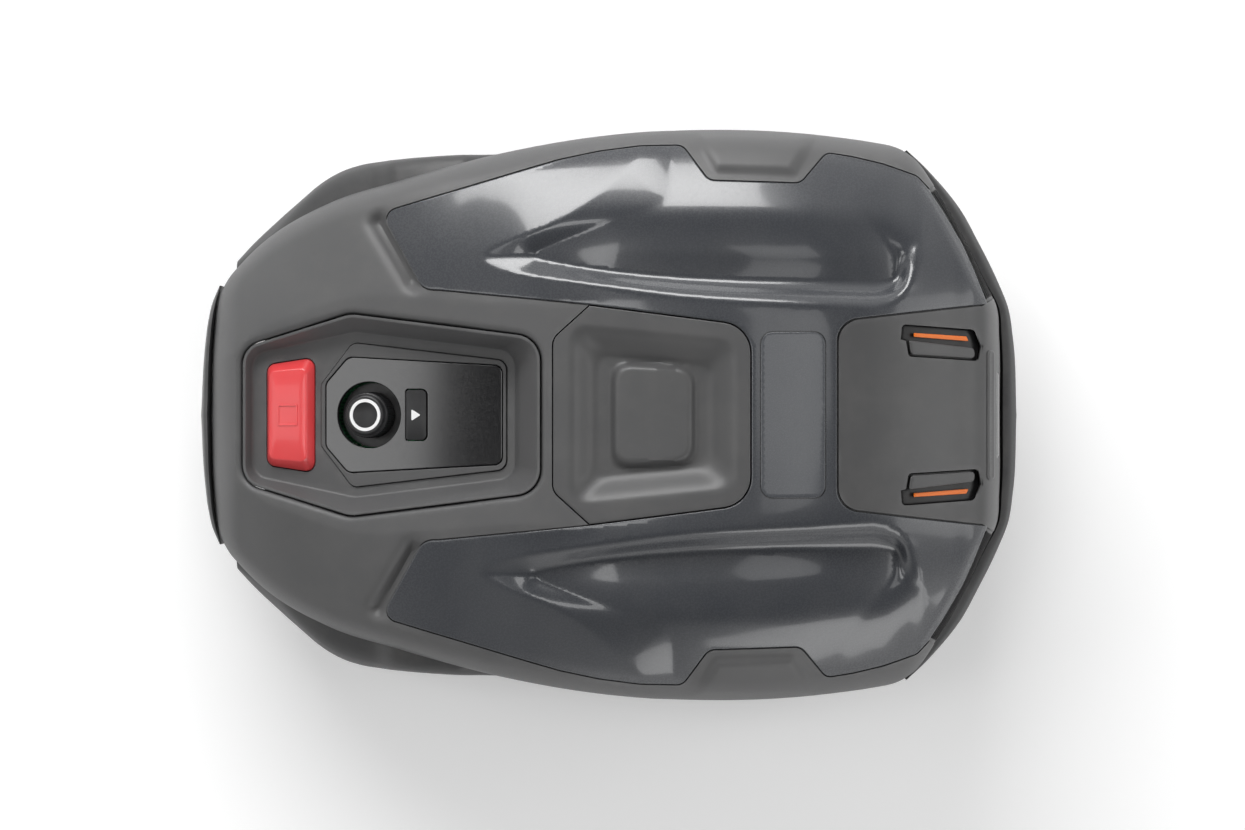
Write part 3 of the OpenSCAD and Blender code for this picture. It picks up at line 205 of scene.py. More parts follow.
def bumps(tree, height, strength, distance):
    made = add_node(tree, "ShaderNodeBump")
    for label, value in (("Height", height), ("Strength", strength), ("Distance", distance)):
        feed(tree, made.inputs[label], value)
    return made.outputs["Normal"]


FLOAT, COLOUR, VECTOR = "NodeSocketFloat", "NodeSocketColor", "NodeSocketVector"


def start_group(name, inputs):
    group = bpy.data.node_groups.new(name, "ShaderNodeTree")
    for label, kind, value in inputs:
        socket = group.interface.new_socket(label, in_out="INPUT", socket_type=kind)
        socket.default_value = value
    for label, kind in (("Colour", COLOUR), ("Roughness", FLOAT), ("Normal", VECTOR)):
        group.interface.new_socket(label, in_out="OUTPUT", socket_type=kind)
    return group, add_node(group, "NodeGroupInput").outputs, add_node(group, "NodeGroupOutput").inputs


# %% The moulded finish, as a node group
def make_moulded_finish():
    group, given, out = start_group("moulded_finish", [
        ("Colour", COLOUR, (0.1, 0.1, 0.1, 1)), ("Worn colour", COLOUR, (0.2, 0.2, 0.2, 1)),
        ("Drift", FLOAT, 0.08), ("Wear", FLOAT, 0.3), ("Dust", FLOAT, 0.05), ("Grain size", FLOAT, 0.7),
        ("Grain depth", FLOAT, 0.3), ("Roughness", FLOAT, 0.5), ("Roughness drift", FLOAT, 0.06)])
    place = add_node(group, "ShaderNodeTexCoord").outputs["Object"]
    shape = add_node(group, "ShaderNodeNewGeometry")
    broad = noise(group, place, 11.0, 3.0)
    fine = noise(group, place, arithmetic(group, "DIVIDE", 1000.0, given["Grain size"]), 3.0, 0.6)
    low = arithmetic(group, "SUBTRACT", 1.0, given["Drift"])
    high = arithmetic(group, "ADD", 1.0, given["Drift"])
    shade = grey(group, stretch(group, broad, 0.3, 0.7, low, high))
    colour = blend_colours(group, 1.0, given["Colour"], shade, "MULTIPLY")
    edges = stretch(group, shape.outputs["Pointiness"], 0.515, 0.58)
    scuffs = stretch(group, noise(group, place, 60.0, 4.0), 0.4, 0.62)
    rubbed = arithmetic(group, "MULTIPLY", edges, scuffs)
    worn = arithmetic(group, "MULTIPLY", rubbed, given["Wear"], clamp=True)
    colour = blend_colours(group, worn, colour, given["Worn colour"])
    facing = add_node(group, "ShaderNodeSeparateXYZ")
    feed(group, facing.inputs[0], shape.outputs["Normal"])
    settled = stretch(group, facing.outputs["Z"], 0.5, 1.0)
    patchy = stretch(group, noise(group, place, 26.0, 5.0, 0.65), 0.42, 0.75)
    lying = arithmetic(group, "MULTIPLY", settled, patchy)
    dust = arithmetic(group, "MULTIPLY", lying, given["Dust"], clamp=True)
    feed(group, out["Colour"], blend_colours(group, dust, colour, (0.42, 0.40, 0.36, 1)))
    swing = stretch(group, fine, 0.3, 0.7, -1.0, 1.0)
    rough = arithmetic(group, "MULTIPLY", swing, given["Roughness drift"])
    rough = arithmetic(group, "ADD", rough, given["Roughness"])
    dulled = arithmetic(group, "MULTIPLY", dust, 0.5)
    feed(group, out["Roughness"], arithmetic(group, "ADD", rough, dulled, clamp=True))
    feed(group, out["Normal"], bumps(group, fine, given["Grain depth"], 0.2 * MM))
    return group


moulded_finish = make_moulded_finish()
print("group", moulded_finish.name, len(moulded_finish.nodes), "nodes")


# %% The brushed metal finish, as a node group
def make_metal_finish():
    group, given, out = start_group("metal_finish", [
        ("Colour", COLOUR, (0.6, 0.6, 0.62, 1)), ("Along", VECTOR, (1.0, 1.0, 1.0)), ("Drift", FLOAT, 0.1),
        ("Depth", FLOAT, 0.2), ("Roughness", FLOAT, 0.3), ("Stain", FLOAT, 0.1)])
    place = add_node(group, "ShaderNodeTexCoord").outputs["Object"]
    drawn = add_node(group, "ShaderNodeVectorMath", operation="MULTIPLY")
    feed(group, drawn.inputs[0], place)
    feed(group, drawn.inputs[1], given["Along"])
    lines = noise(group, drawn.outputs[0], 900.0, 2.0, 0.7)
    spots = stretch(group, noise(group, place, 90.0, 4.0, 0.6), 0.55, 0.72)
    stain = arithmetic(group, "MULTIPLY", spots, given["Stain"])
    tone = arithmetic(group, "MULTIPLY", stretch(group, lines, 0.3, 0.7, -1.0, 1.0), given["Drift"])
    shade = grey(group, arithmetic(group, "ADD", tone, 1.0))
    colour = blend_colours(group, 1.0, given["Colour"], shade, "MULTIPLY")
    feed(group, out["Colour"], blend_colours(group, stain, colour, (0.16, 0.13, 0.1, 1)))
    rough = arithmetic(group, "ADD", given["Roughness"], arithmetic(group, "MULTIPLY", tone, 0.8))
    feed(group, out["Roughness"], arithmetic(group, "ADD", rough, stain, clamp=True))
    feed(group, out["Normal"], bumps(group, lines, given["Depth"], 0.1 * MM))
    return group


metal_finish = make_metal_finish()
print("group", metal_finish.name, len(metal_finish.nodes), "nodes")


# %% A material from a finish
finishes = {}


def start_material(name):
    """A new material, kept by its name, with its node tree and its shader's sockets."""
    material = bpy.data.materials.new(name)
    material.use_nodes = True
    finishes[name] = material
    return material.node_tree, material.node_tree.nodes["Principled BSDF"].inputs


def finished_with(name, group, values):
    """A material whose colour, roughness and grain come from a group; its shader's sockets."""
    tree, shader = start_material(name)
    made = add_node(tree, "ShaderNodeGroup")
    made.node_tree = group
    for label, value in values.items():
        made.inputs[label].default_value = value
    for socket, label in (("Base Color", "Colour"), ("Roughness", "Roughness"), ("Normal", "Normal")):
        feed(tree, shader[socket], made.outputs[label])
    return shader


def plastic(name, colour, roughness, drift=0.06, wear=0.25, dust=0.04, grain=0.7, depth=0.25, coat=0.0):
    worn = tuple(min(1.0, c * 1.7 + 0.03) for c in colour)
    shader = finished_with(name, moulded_finish, {
        "Colour": (*colour, 1), "Worn colour": (*worn, 1), "Drift": drift, "Wear": wear, "Dust": dust,
        "Grain size": grain, "Grain depth": depth, "Roughness": roughness, "Roughness drift": 0.05})
    shader["Coat Weight"].default_value = coat
    shader["Coat Roughness"].default_value = 0.08


def metal(name, colour, roughness, along=(1.0, 1.0, 1.0), drift=0.1, depth=0.2, stain=0.1):
    shader = finished_with(name, metal_finish, {
        "Colour": (*colour, 1), "Along": along, "Drift": drift, "Depth": depth,
        "Roughness": roughness, "Stain": stain})
    shader["Metallic"].default_value = 1.0


# %% The mower's plastics and metals
plastic("shell_plastic", (0.078, 0.078, 0.079), 0.48, grain=0.8, depth=0.3)
plastic("fender_plastic", (0.04, 0.04, 0.041), 0.46, grain=0.8, depth=0.3, dust=0.08)
plastic("bumper_rubber", (0.016, 0.016, 0.017), 0.55, grain=1.0, depth=0.4, dust=0.08)
plastic("cover_gloss", (0.040, 0.043, 0.049), 0.27, drift=0.04, wear=0.1, dust=0.02,
        grain=1.4, depth=0.03, coat=0.6)
# The label plate's gloss is the cover's gloss made lighter. This is a painted reflection, standing in for the
# bright lamp that the plate mirrors.
plastic("label_gloss", (0.058, 0.062, 0.069), 0.26, drift=0.03, wear=0.1, dust=0.02,
        grain=1.2, depth=0.04, coat=0.6)
plastic("hatch_satin", (0.068, 0.068, 0.069), 0.42, grain=0.8, depth=0.2)
plastic("nose_satin", (0.062, 0.062, 0.063), 0.38, grain=0.8, depth=0.2)
plastic("black_trim", (0.010, 0.010, 0.011), 0.38, grain=0.9, depth=0.2, dust=0.04)
plastic("orange_trim", (0.72, 0.15, 0.008), 0.35, drift=0.05, wear=0.0, dust=0.0, depth=0.05)
plastic("display_gloss", (0.008, 0.008, 0.009), 0.1, drift=0.03, wear=0.0, dust=0.01,
        grain=1.5, depth=0.01, coat=1.0)
plastic("stop_red", (0.72, 0.055, 0.06), 0.33, drift=0.04, wear=0.12, depth=0.1, coat=0.3)
plastic("ring_white", (0.82, 0.82, 0.82), 0.35, drift=0.02, wear=0.0, depth=0.05)
plastic("chassis_plastic", (0.034, 0.034, 0.036), 0.55, grain=1.0, depth=0.4, dust=0.12)
plastic("lid_plastic", (0.05, 0.05, 0.052), 0.5, grain=0.9, depth=0.35, dust=0.1)
plastic("tyre_rubber", (0.015, 0.015, 0.016), 0.72, grain=0.9, depth=0.5, dust=0.2, wear=0.4)
plastic("rim_plastic", (0.075, 0.077, 0.08), 0.42, grain=0.8, depth=0.25, dust=0.1)
plastic("cell_blue", (0.045, 0.09, 0.26), 0.25, drift=0.08, wear=0.05, depth=0.1, coat=0.4)
plastic("seal_rubber", (0.018, 0.018, 0.019), 0.7, depth=0.4, dust=0.15)
plastic("gear_nylon", (0.72, 0.69, 0.59), 0.38, drift=0.05, wear=0.1, depth=0.15)
metal("motor_metal", (0.34, 0.345, 0.355), 0.42, along=(1, 1, 14), drift=0.06, stain=0.05)
metal("steel", (0.6, 0.6, 0.61), 0.28, along=(1, 1, 20))
metal("blade_steel", (0.7, 0.71, 0.73), 0.24, along=(0.05, 1, 1), depth=0.3, stain=0.25)
metal("zinc", (0.56, 0.56, 0.57), 0.35, drift=0.15, stain=0.15)
metal("bronze", (0.48, 0.34, 0.19), 0.4, along=(1, 1, 12), stain=0.1)
metal("contact_brass", (0.75, 0.56, 0.3), 0.3, along=(1, 12, 1), stain=0.2)
print("finishes", len(finishes))


# %% [markdown]
# A circuit board shows copper tracks as slightly paler lines under the green resist. A brick
# pattern turned into thin lines gives the tracks, and small round pads come from a fine lattice.

# %% The circuit board's finish
def make_circuit_green():
    tree, shader = start_material("circuit_green")
    place = add_node(tree, "ShaderNodeTexCoord").outputs["Object"]
    tracks = add_node(tree, "ShaderNodeTexBrick")
    pads = add_node(tree, "ShaderNodeTexVoronoi")
    for made, settings in (
            (tracks, {"Vector": place, "Scale": 90, "Mortar Size": 0.06, "Color1": (0.012, 0.11, 0.04, 1),
                      "Color2": (0.016, 0.13, 0.05, 1), "Mortar": (0.05, 0.26, 0.11, 1)}),
            (pads, {"Vector": place, "Scale": 160, "Randomness": 0.35})):
        for label, value in settings.items():
            feed(tree, made.inputs[label], value)
    dots = stretch(tree, pads.outputs["Distance"], 0.16, 0.22, 1.0, 0.0)
    colour = blend_colours(tree, dots, tracks.outputs["Color"], (0.62, 0.6, 0.5, 1))
    feed(tree, shader["Base Color"], colour)
    feed(tree, shader["Normal"], bumps(tree, tracks.outputs["Fac"], 0.3, 0.2 * MM))
    shader["Roughness"].default_value = 0.3


make_circuit_green()
print("finish circuit_green")

# %% Every CAD node takes the finish of its slot
def dress(piece, finish):
    piece.data.materials.clear()
    piece.data.materials.append(finishes[finish])


slot_of = {part["node"]: part["material_slot"] for part in frame["record"]["subparts"]}
for name, node in nodes.items():
    dress(node, slot_of[name])
print("dressed", len(slot_of), "nodes")

# %% [markdown]
# ## The outer skin as a drawing
# The hood is one flowing surface, so its height is written as a function of the plan: a crown that
# falls from the middle to the shoulders, a rolled edge, two scoops and a dish in the hatch. The
# tables of the sides and the crown are the sections that the CAD source uses, and a smooth curve
# runs through each. The scoops are drawn finer here, each between an outer and an inner line.
# Every panel is cut from this one surface, so the panels meet as they do on the mower.

# %% Curves through sections
def smooth(low, high, x):
    t = np.clip((x - low) / (high - low), 0, 1)
    return t * t * (3 - 2 * t)


def curve(table, x):
    """A smooth line through the rows [x, value] of a table, held level past its ends."""
    knots = np.array(table, float)
    xs, v = knots[:, 0], knots[:, 1]
    x = np.clip(x, xs[0], xs[-1])
    gaps = np.diff(xs)
    slopes = np.diff(v) / gaps
    tangent = np.empty(len(xs))
    tangent[1:-1] = (gaps[1:] * slopes[:-1] + gaps[:-1] * slopes[1:]) / (gaps[1:] + gaps[:-1])
    tangent[0], tangent[-1] = slopes[0], slopes[-1]
    i = np.clip(np.searchsorted(xs, x, side="right") - 1, 0, len(xs) - 2)
    h = gaps[i]
    t = (x - xs[i]) / h
    return ((2 * t ** 3 - 3 * t ** 2 + 1) * v[i] + (t ** 3 - 2 * t ** 2 + t) * h * tangent[i]
            + (3 * t ** 2 - 2 * t ** 3) * v[i + 1] + (t ** 3 - t ** 2) * h * tangent[i + 1])


REAR_CORNER, FRONT_CORNER = (-310, 106), (236, 211)
side_line = [REAR_CORNER, (-280, 135.5), (-221, 168.5), (-165, 184.5), (-78, 206.5), (-6, 218.5),
             (74, 223.8), (153, 221.5), (192, 217.5), FRONT_CORNER]
front_line = [(0, 309), (60, 308.5), (86, 306), (106, 295), (137, 280), (168, 264), (182, 256),
              (198, 246), FRONT_CORNER[::-1]]
rear_line = [(0, -319), (60, -317), (88, -314), REAR_CORNER[::-1]]
RIM_START, RIM_HEIGHT, RIM_SLOPE = -287, 178, 0.352


def rim_height(x):
    return RIM_HEIGHT + RIM_SLOPE * (x - RIM_START)


centre_line = [(-319, 138), (-306, 158), (-293, 175), (-287, 178), (-200, rim_height(-200)),
               (-120, rim_height(-120)), (-51, rim_height(-51)), (0, 269), (60, 274), (120, 275), (170, 272),
               (220, 260), (265, 241), (292, 226), (309, 205)]
shoulder_line = [(-319, 136), (-280, 150), (-220, 178), (-150, 204), (-90, 213), (0, 218), (80, 218),
                 (160, 212), (220, 200), (255, 188), (309, 176)]
plateau_line = [(-319, 40), (-290, 52), (-277, 63), (-240, 79), (-200, 91), (-150, 91), (-98, 86), (-40, 83),
                (70, 78), (110, 74), (180, 64), (309, 52)]
valley_line = [(-90, 118), (-60, 117), (0, 110), (72, 105), (309, 102)]
EDGE_WIDTH, EDGE_DROP, DISH_DEPTH, PAD_HEIGHT = 18, 30, 14, 6
SCOOP_DEPTH, CREST_DEPTH, SHOULDER_RISE = 15, 4.5, 3


def cut_corners(points, times=3, share=0.25):
    """A closed line whose corners are cut again and again, until it is a smooth curve."""
    line = np.array(points, float)
    for _ in range(times):
        after, rest = np.roll(line, -1, axis=0), 1 - share
        cut = np.stack([rest * line + share * after, share * line + rest * after], axis=1)
        line = cut.reshape(-1, line.shape[1])
    return line


scoop_outer = cut_corners([
    (248, 78), (150, 82), (72, 86), (0, 96), (-50, 105), (-84, 110), (-99, 118), (-97, 127), (-84, 133),
    (-59, 140), (-31, 152), (-3, 175), (28, 203), (50, 300), (248, 300)])
scoop_inner = cut_corners([
    (217, 103), (150, 104), (72, 106), (26, 109), (-13, 113), (-40, 117), (-54, 120), (-54, 125), (-46, 129),
    (-28, 136), (-3, 144), (23, 152), (47, 160), (52, 175), (52, 205), (60, 300), (176, 300), (177, 175),
    (190, 157), (220, 126), (222, 106)])
PANEL, SEAM = 3, 0.9
SHELL_WALL, EDGE_WALL, SKIRT_WALL = 13, 6, 4
SKIRT_LOW, TUCK = 75, 5
AXLE_X, AXLE_Z = -90, 95
ARCH_HALF, ARCH_RISE = 108, 62
PAD_BOX, PAD_SLANT = (2, 69, 42), 0.05
SIDE_SLANT, CORNER_REACH = 0.92, 9


# %% The height of the skin
def crown(x, a):
    """Level as far as the plateau's edge, then falling to the shoulder: sharply behind, softly ahead."""
    side, flat = curve(side_line, x), curve(plateau_line, x)
    t = np.clip((a - flat) / (side - flat), 0, 1)
    crease = 1 - smooth(-90, 10, x)
    fall = t * t * (1 - crease) + t * (0.7 + 0.3 * t) * crease
    top, shoulder = curve(centre_line, x), curve(shoulder_line, x)
    return top - (top - shoulder) * fall


def soft_least(a, b, reach):
    """The lesser of two values, blended where they differ by less than the reach."""
    near = np.clip(reach - np.abs(a - b), 0, reach) / reach
    return np.minimum(a, b) - near * near * reach / 4


def edge_distance(x, a):
    """How far inside the hood's plan a place lies; the sides slant a little to the middle line."""
    side = SIDE_SLANT * (curve(side_line, x) - a)
    front, rear = curve(front_line, a) - x, x - curve(rear_line, a)
    return soft_least(soft_least(side, front, CORNER_REACH), rear, CORNER_REACH)


def rolled(distance):
    t = np.clip(1 - distance / EDGE_WIDTH, 0, 1)
    return EDGE_DROP * (1 - np.sqrt(np.clip(1 - t * t, 0, 1)))


def inside(points, outline):
    x, y = points[:, 0], points[:, 1]
    hit = np.zeros(len(points), bool)
    for (x0, y0), (x1, y1) in zip(outline, np.roll(outline, -1, axis=0)):
        if y0 != y1:
            crosses = (y0 > y) != (y1 > y)
            hit ^= crosses & (x < (x1 - x0) * (y - y0) / (y1 - y0) + x0)
    return hit


def ramp(t, soft=0.25):
    """From 0 to 1 in a straight line with rounded ends."""
    t = np.clip(t, 0, 1)
    low = np.minimum(t, soft) ** 2 / (2 * soft)
    high = np.clip(t - 1 + soft, 0, soft)
    return (low + np.clip(t - soft, 0, None) - high ** 2 / (2 * soft)) / (1 - soft)


def from_line(x, a, line):
    """How far each point lies from a closed line."""
    least = np.full(np.shape(x), 1e9)
    for (x0, y0), (x1, y1) in zip(line, np.roll(line, -1, axis=0)):
        dx, dy = x1 - x0, y1 - y0
        t = np.clip(((x - x0) * dx + (a - y0) * dy) / (dx * dx + dy * dy), 0, 1)
        least = np.minimum(least, np.hypot(x - x0 - t * dx, a - y0 - t * dy))
    return least


def held_in(x, a, line):
    """Which of the places, given as two arrays, lie inside a closed line."""
    return inside(np.column_stack([np.ravel(x), np.ravel(a)]), line).reshape(np.shape(x))


def scoop(x, a):
    """Depth of the scoops: walls run from the outer line down to the floor inside the inner line."""
    out, into = from_line(x, a, scoop_outer), from_line(x, a, scoop_inner)
    wall = np.where(held_in(x, a, scoop_outer), out / (out + into + 1e-6), 0)
    across = np.where(held_in(x, a, scoop_inner), 1, wall)
    valley = curve(valley_line, x)
    floor = SCOOP_DEPTH - (SCOOP_DEPTH - CREST_DEPTH) * ramp((a - valley) / (162 - valley), 0.3)
    floor = floor * (0.62 + 0.38 * smooth(-80, 60, x))
    lengthways = smooth(-125, -60, x) * (1 - smooth(215, 262, x))
    raised = smooth(92, 128, a) * lengthways * smooth(0, 24, edge_distance(x, a))
    soft = 0.12 + 0.33 * smooth(-50, 40, x) * (1 - smooth(118, 135, a))
    return floor * ramp(across, soft) - SHOULDER_RISE * raised


def box_distance(x, a, x0, x1, a1, slant):
    """How far inside a box a place lies; the box grows narrower to the front by its slant."""
    return soft_least(soft_least(x - x0, x1 - x, 14), a1 - slant * x - a, 14)


def dish(x, a):
    hollow = smooth(0, 24, box_distance(x, a, -30, 100, 68, 0.1))
    pad = smooth(0, 6, box_distance(x, a, *PAD_BOX, PAD_SLANT))
    return DISH_DEPTH * hollow - PAD_HEIGHT * pad


def skin_height(x, y):
    a = np.abs(y)
    return crown(x, a) - rolled(edge_distance(x, a)) - scoop(x, a) - dish(x, a)


def inner_height(x, y):
    """The underside of the shell: it follows the scoops in part and grows thinner at the edge."""
    a = np.abs(y)
    wall = EDGE_WALL + (SHELL_WALL - EDGE_WALL) * np.clip(edge_distance(x, a) / 16, 0, 1)
    return crown(x, a) - rolled(edge_distance(x, a)) - 0.8 * np.maximum(0, scoop(x, a)) - wall


print("height over the middle", round(float(skin_height(np.array([35.0]), np.array([0.0]))[0]), 1), "mm")

# %% [markdown]
# ## Outlines with rounded corners
# A panel's outline is a few corners, each with its own radius. The corners become arcs, long
# stretches are divided so that the outline can follow the curved skin, and an outline can be
# moved in or out by a distance, point by point, which keeps its number of points.

# %% Outline tools
def unit(v):
    return v / np.linalg.norm(v)


def corner_arc(before, corner, after, radius, steps=8):
    p = np.array(corner[:2], float)
    u, v = unit(np.array(before[:2]) - p), unit(np.array(after[:2]) - p)
    half = math.acos(max(-1, min(1, float(u @ v)))) / 2
    reach = radius / math.tan(half)
    middle = p + unit(u + v) * radius / math.sin(half)
    start, end = p + u * reach - middle, p + v * reach - middle
    first = math.atan2(start[1], start[0])
    turn = math.atan2(start[0] * end[1] - start[1] * end[0], float(start @ end))
    angles = first + turn * np.linspace(0, 1, steps + 1)
    return [middle + radius * np.array([math.cos(a), math.sin(a)]) for a in angles]


def rounded(corners, step=3.0):
    """A closed outline: corners [x, y] or [x, y, radius], divided into stretches of about step."""
    points = []
    for i, corner in enumerate(corners):
        if len(corner) > 2 and corner[2] > 0:
            points += corner_arc(corners[i - 1], corner, corners[(i + 1) % len(corners)], corner[2])
        else:
            points.append(np.array(corner[:2], float))
    return divided(points, step)


def divided(points, step=3.0, closed=True):
    out = []
    last = len(points) if closed else len(points) - 1
    for i in range(last):
        a, b = np.array(points[i]), np.array(points[(i + 1) % len(points)])
        parts = max(1, int(round(np.linalg.norm(b - a) / step)))
        if np.linalg.norm(b - a) > 0.01:
            out += [a + (b - a) * k / parts for k in range(parts)]
    if not closed:
        out.append(np.array(points[-1]))
    return np.array(out)


def mirrored(half):
    """A half outline on the mower's left, from front to rear, closed by its mirror image."""
    return list(half) + [(c[0], -c[1], *c[2:]) for c in reversed(half)]


def flipped(outline):
    return outline[::-1] * np.array([1, -1])


def area_of(outline):
    after = np.roll(outline, -1, axis=0)
    return 0.5 * float(np.sum(outline[:, 0] * after[:, 1] - after[:, 0] * outline[:, 1]))


def grown(outline, distance):
    """The outline moved outwards by a distance, or inwards if it is negative."""
    before, after = np.roll(outline, 1, axis=0), np.roll(outline, -1, axis=0)
    e1, e2 = outline - before, after - outline
    e1 /= np.linalg.norm(e1, axis=1)[:, None]
    e2 /= np.linalg.norm(e2, axis=1)[:, None]
    n1 = np.stack([e1[:, 1], -e1[:, 0]], axis=1)
    n = n1 + np.stack([e2[:, 1], -e2[:, 0]], axis=1)
    n /= np.linalg.norm(n, axis=1)[:, None]
    reach = distance / np.maximum(0.3, np.sum(n * n1, axis=1))
    return outline + n * (reach if area_of(outline) > 0 else -reach)[:, None]


# %% The panels' outlines
BRIDGE, BRIDGE_END = (110, 68.4), (-13, 84.2)
cover_outline = rounded(mirrored([
    (175, 72, 18), (295, 86), (284, 113.5), (276, 132), (261, 158.5), (250, 176), (241, 185.5, 8),
    (214, 194.5), (190, 200), (170, 203, 8), (149, 178, 10), (78, 180, 10), (58, 208.5, 9), (25, 207.5),
    (-6, 203.5), (-37, 197), (-100, 179), (-176, 157.5, 9), (-142, 97, 14), (-129, 96.5), (-82, 91.5),
    BRIDGE_END, (*BRIDGE, 24)]))
hatch_outline = rounded(mirrored([
    (BRIDGE[0] - SEAM, BRIDGE[1] - 1.15 * SEAM, 24 - SEAM), (BRIDGE_END[0], BRIDGE_END[1] - 1.15 * SEAM),
    (-41, 58, 12)]))
rim_corners = mirrored([(-51, 59, 20), (-200, 78.5, 26), (-287, 53, 18)])
rim_outline = rounded(rim_corners)
label_outline = rounded(mirrored([(166, 63, 9), (117, 63, 9)]))
light_outline = rounded([(226, 69, 3), (283, 65.5, 4), (288, 53), (286, 42, 3), (231, 45, 3), (229, 57),
                         (225, 58)], 2)
grip_outline = rounded([(168, 222), (145, 183.5, 6), (82, 185.5, 6), (63, 222)])
print("cover outline", len(cover_outline), "points")


# %% The plan outline of the hood
def softened(points, corner, reach):
    """A polyline with the corner at an index replaced by a parabola."""
    a, b, c = points[corner - reach], points[corner], points[corner + reach]
    t = np.linspace(0, 1, 2 * reach + 1)[:, None]
    bow = (1 - t) ** 2 * a + 2 * t * (1 - t) * b + t ** 2 * c
    return np.vstack([points[:corner - reach], bow, points[corner + reach + 1:]])


FRONT_POINTS, SIDE_POINTS, REAR_POINTS = 90, 210, 42


def hood_plan():
    """The left half from the nose to the tail, then its mirror image: one closed outline."""
    y = np.linspace(0, FRONT_CORNER[1], FRONT_POINTS)
    front = np.stack([curve(front_line, y), y], axis=1)
    x = np.linspace(FRONT_CORNER[0], REAR_CORNER[0], SIDE_POINTS)
    side = np.stack([x, curve(side_line, x)], axis=1)
    y = np.linspace(REAR_CORNER[1], 0, REAR_POINTS)
    rear = np.stack([curve(rear_line, y), y], axis=1)
    half = np.vstack([front, side[1:], rear[1:]])
    half = softened(half, len(front) + len(side) - 2, 7)
    half = softened(half, len(front) - 1, 9)
    return np.vstack([half, flipped(half)[1:-1]])


hood = hood_plan()
print("hood plan", len(hood), "points")

# %% [markdown]
# ## Panels from the skin
# A panel is first laid out flat: its outline and a lattice of points are joined to triangles, as a
# sheet of paper is cut. Each point is then lifted to the skin's height. Where a panel has a
# recess, the sheet drops to a lower level with a small wall, and the same sheet, lower down,
# closes the panel from below. The levels come in order from the highest to the lowest.

# %% Cut a plan into triangles
def triangulate(outlines, spacing=3.0, clear=1.15, creases=()):
    """Points, triangles and their middles; edges run along the outlines and the open creases."""
    rims = np.vstack([*outlines, *creases])
    near = np.vstack([divided(line, 0.8) for line in outlines]
                     + [divided(line, 0.8, closed=False) for line in creases])
    tree = kdtree.KDTree(len(near))
    for i, (x, y) in enumerate(near):
        tree.insert((x, y, 0), i)
    tree.balance()
    low, high = rims.min(0), rims.max(0)
    lattice = []
    for row, y in enumerate(np.arange(low[1], high[1], spacing * 0.866)):
        for x in np.arange(low[0] + (row % 2) * spacing / 2, high[0], spacing):
            if tree.find((x, y, 0))[2] > clear:
                lattice.append((x, y))
    edges, start = [], 0
    for line, closed in [(line, True) for line in outlines] + [(line, False) for line in creases]:
        count = len(line)
        edges += [(start + i, start + (i + 1) % count) for i in range(count if closed else count - 1)]
        start += count
    exact = np.vstack([rims, np.array(lattice)])
    points, _, triangles, came_from, _, _ = geometry.delaunay_2d_cdt(
        [Vector(p) for p in exact], edges, [], 0, 1e-5)
    points = np.array([exact[c[0]] if c else (p.x, p.y) for p, c in zip(points, came_from)])
    triangles = np.array(triangles)
    a, b, c = (points[triangles[:, k]] for k in range(3))
    turned = (b[:, 0] - a[:, 0]) * (c[:, 1] - a[:, 1]) - (b[:, 1] - a[:, 1]) * (c[:, 0] - a[:, 0]) < 0
    triangles[turned] = triangles[turned][:, ::-1]
    return points, triangles, (a + b + c) / 3


# %% Lift a plan to its levels
def layered(points, triangles, upper, lower, heights, closed=False):
    """Corners and faces of a sheet whose triangles lie on a level above and one below; -1 is open."""
    z = [height(points[:, 0], points[:, 1]) for height in heights]
    corners, index, faces, sides = [], {}, [], {}

    def at(i, level):
        if (i, level) not in index:
            index[(i, level)] = len(corners)
            corners.append((points[i, 0], points[i, 1], z[level][i]))
        return index[(i, level)]

    def wall(a, b, high, low):
        for level in range(high, low):
            faces.append([at(a, level), at(a, level + 1), at(b, level + 1), at(b, level)])

    for t, (a, b, c) in enumerate(triangles.tolist()):
        if upper[t] < 0 and lower[t] < 0:
            continue
        if upper[t] >= 0:
            faces.append([at(a, upper[t]), at(b, upper[t]), at(c, upper[t])])
        if lower[t] >= 0:
            faces.append([at(c, lower[t]), at(b, lower[t]), at(a, lower[t])])
        for a, b in ((a, b), (b, c), (c, a)):
            sides.setdefault((min(a, b), max(a, b)), []).append((a, b, upper[t], lower[t]))
    for pair in sides.values():
        if len(pair) == 2:
            (a, b, high, low), (_, _, high_2, low_2) = pair
            if high >= 0 and high_2 >= 0 and high != high_2:
                wall(*((a, b) if high < high_2 else (b, a)), min(high, high_2), max(high, high_2))
            if low >= 0 and low_2 >= 0 and low != low_2:
                wall(*((a, b) if low > low_2 else (b, a)), min(low, low_2), max(low, low_2))
        elif closed:
            wall(*pair[0])
    return corners, faces


def in_any(middles, outlines):
    """Which of the middles lie inside one of the outlines."""
    return np.any([inside(middles, outline) for outline in outlines], axis=0)


def sheet(outlines, within, heights, holes=(), recesses=(), closed=False, **cut):
    """A sheet between the first level and the last, with holes, and recesses at the second level."""
    points, triangles, middles = triangulate(outlines, **cut)
    upper = np.zeros(len(triangles), int)
    lower = np.full(len(triangles), len(heights) - 1)
    if len(recesses):
        upper[in_any(middles, recesses)] = 1
    gone = ~np.all([inside(middles, outline) for outline in within], axis=0)
    if len(holes):
        gone |= in_any(middles, holes)
    upper[gone] = lower[gone] = -1
    return layered(points, triangles, upper, lower, heights, closed)


# %% Bands between outlines, and finished pieces
def rounding(steps):
    """Shares of inset and of drop, from the flat of a rounded edge to its side."""
    return [(1 - math.sin(turn), 1 - math.cos(turn)) for turn in np.linspace(0, math.pi / 2, steps)]


def band(rows):
    """Corners and faces of a closed band through rows of as many points each."""
    count = len(rows[0])
    faces = []
    for r in range(len(rows) - 1):
        for i in range(count):
            j = (i + 1) % count
            faces.append([r * count + i, r * count + j, (r + 1) * count + j, (r + 1) * count + i])
    return [tuple(p) for row in rows for p in row], faces


WELD = 0.002 * MM


